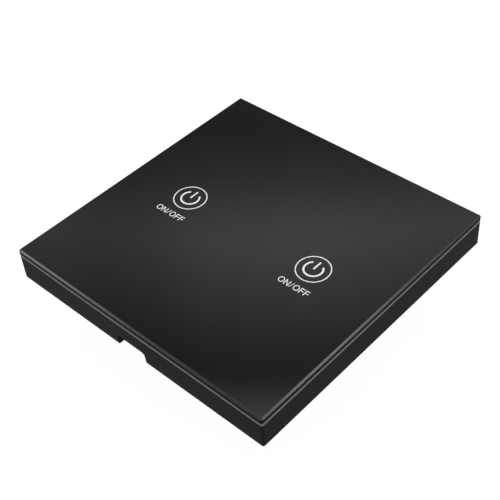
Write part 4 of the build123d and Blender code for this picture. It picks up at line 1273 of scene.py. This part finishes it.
class TOUCH_SWITCH_OT_supply_parts(bpy.types.Operator):
    """Build the smoothing can and the dipped disc"""

    bl_idname = "touch_switch.supply_parts"
    bl_label = "Supply parts"

    def execute(self, context):
        smoothing_can()
        dipped_disc(settings("board"))
        return {"FINISHED"}


class TOUCH_SWITCH_OT_threads(bpy.types.Operator):
    """Cut the threads of the screws"""

    bl_idname = "touch_switch.threads"
    bl_label = "Screw threads"

    def execute(self, context):
        screw_threads()
        return {"FINISHED"}


class TOUCH_SWITCH_OT_marks(bpy.types.Operator):
    """Print the letters above the wire holes and the ratings on the parts"""

    bl_idname = "touch_switch.marks"
    bl_label = "Printed marks"

    def execute(self, context):
        look = settings("board")
        wire_marks(look)
        part_marks(look)
        return {"FINISHED"}


class TOUCH_SWITCH_OT_stage(bpy.types.Operator):
    """Set up the floor, the light and the camera"""

    bl_idname = "touch_switch.stage"
    bl_label = "Stage"

    def execute(self, context):
        look = settings("stage")
        make_floor(look)
        make_world(look)
        for *lamp, radiance in LAMPS:
            make_lamp(*lamp, radiance * look.light_level)
        make_camera(look)
        context.scene.view_settings.view_transform = "Standard"
        return {"FINISHED"}


class TOUCH_SWITCH_PT_panel(bpy.types.Panel):
    """Buttons and settings in the sidebar"""

    bl_label = "Touch Switch"
    bl_space_type = "VIEW_3D"
    bl_region_type = "UI"
    bl_category = "Touch Switch"

    def draw(self, context):
        for operator in OPERATORS:
            self.layout.operator(operator.bl_idname)
        for name, group in GROUPS.items():
            box = self.layout.box()
            for prop in group.__annotations__:
                box.prop(settings(name), prop)


GROUPS = {
    "glass": GlassSettings,
    "frame": FrameSettings,
    "winding": WindingSettings,
    "board": BoardSettings,
    "stage": StageSettings,
}
OPERATORS = (
    TOUCH_SWITCH_OT_finishes,
    TOUCH_SWITCH_OT_glass,
    TOUCH_SWITCH_OT_windings,
    TOUCH_SWITCH_OT_board_parts,
    TOUCH_SWITCH_OT_supply_parts,
    TOUCH_SWITCH_OT_threads,
    TOUCH_SWITCH_OT_marks,
    TOUCH_SWITCH_OT_stage,
)
CLASSES = (*GROUPS.values(), *OPERATORS, TOUCH_SWITCH_PT_panel)


def register():
    """Register the classes and hang the settings on the scene."""
    for each in CLASSES:
        bpy.utils.register_class(each)
    for name, group in GROUPS.items():
        setattr(bpy.types.Scene, "touch_switch_" + name, PointerProperty(type=group))


def unregister():
    """Take the settings and the classes away again."""
    for name in GROUPS:
        delattr(bpy.types.Scene, "touch_switch_" + name)
    for each in reversed(CLASSES):
        bpy.utils.unregister_class(each)


def main():
    """Build every piece in order."""
    register()
    for operator in OPERATORS:
        area, call = operator.bl_idname.split(".")
        getattr(getattr(bpy.ops, area), call)()


if __name__ == "__main__":
    main()
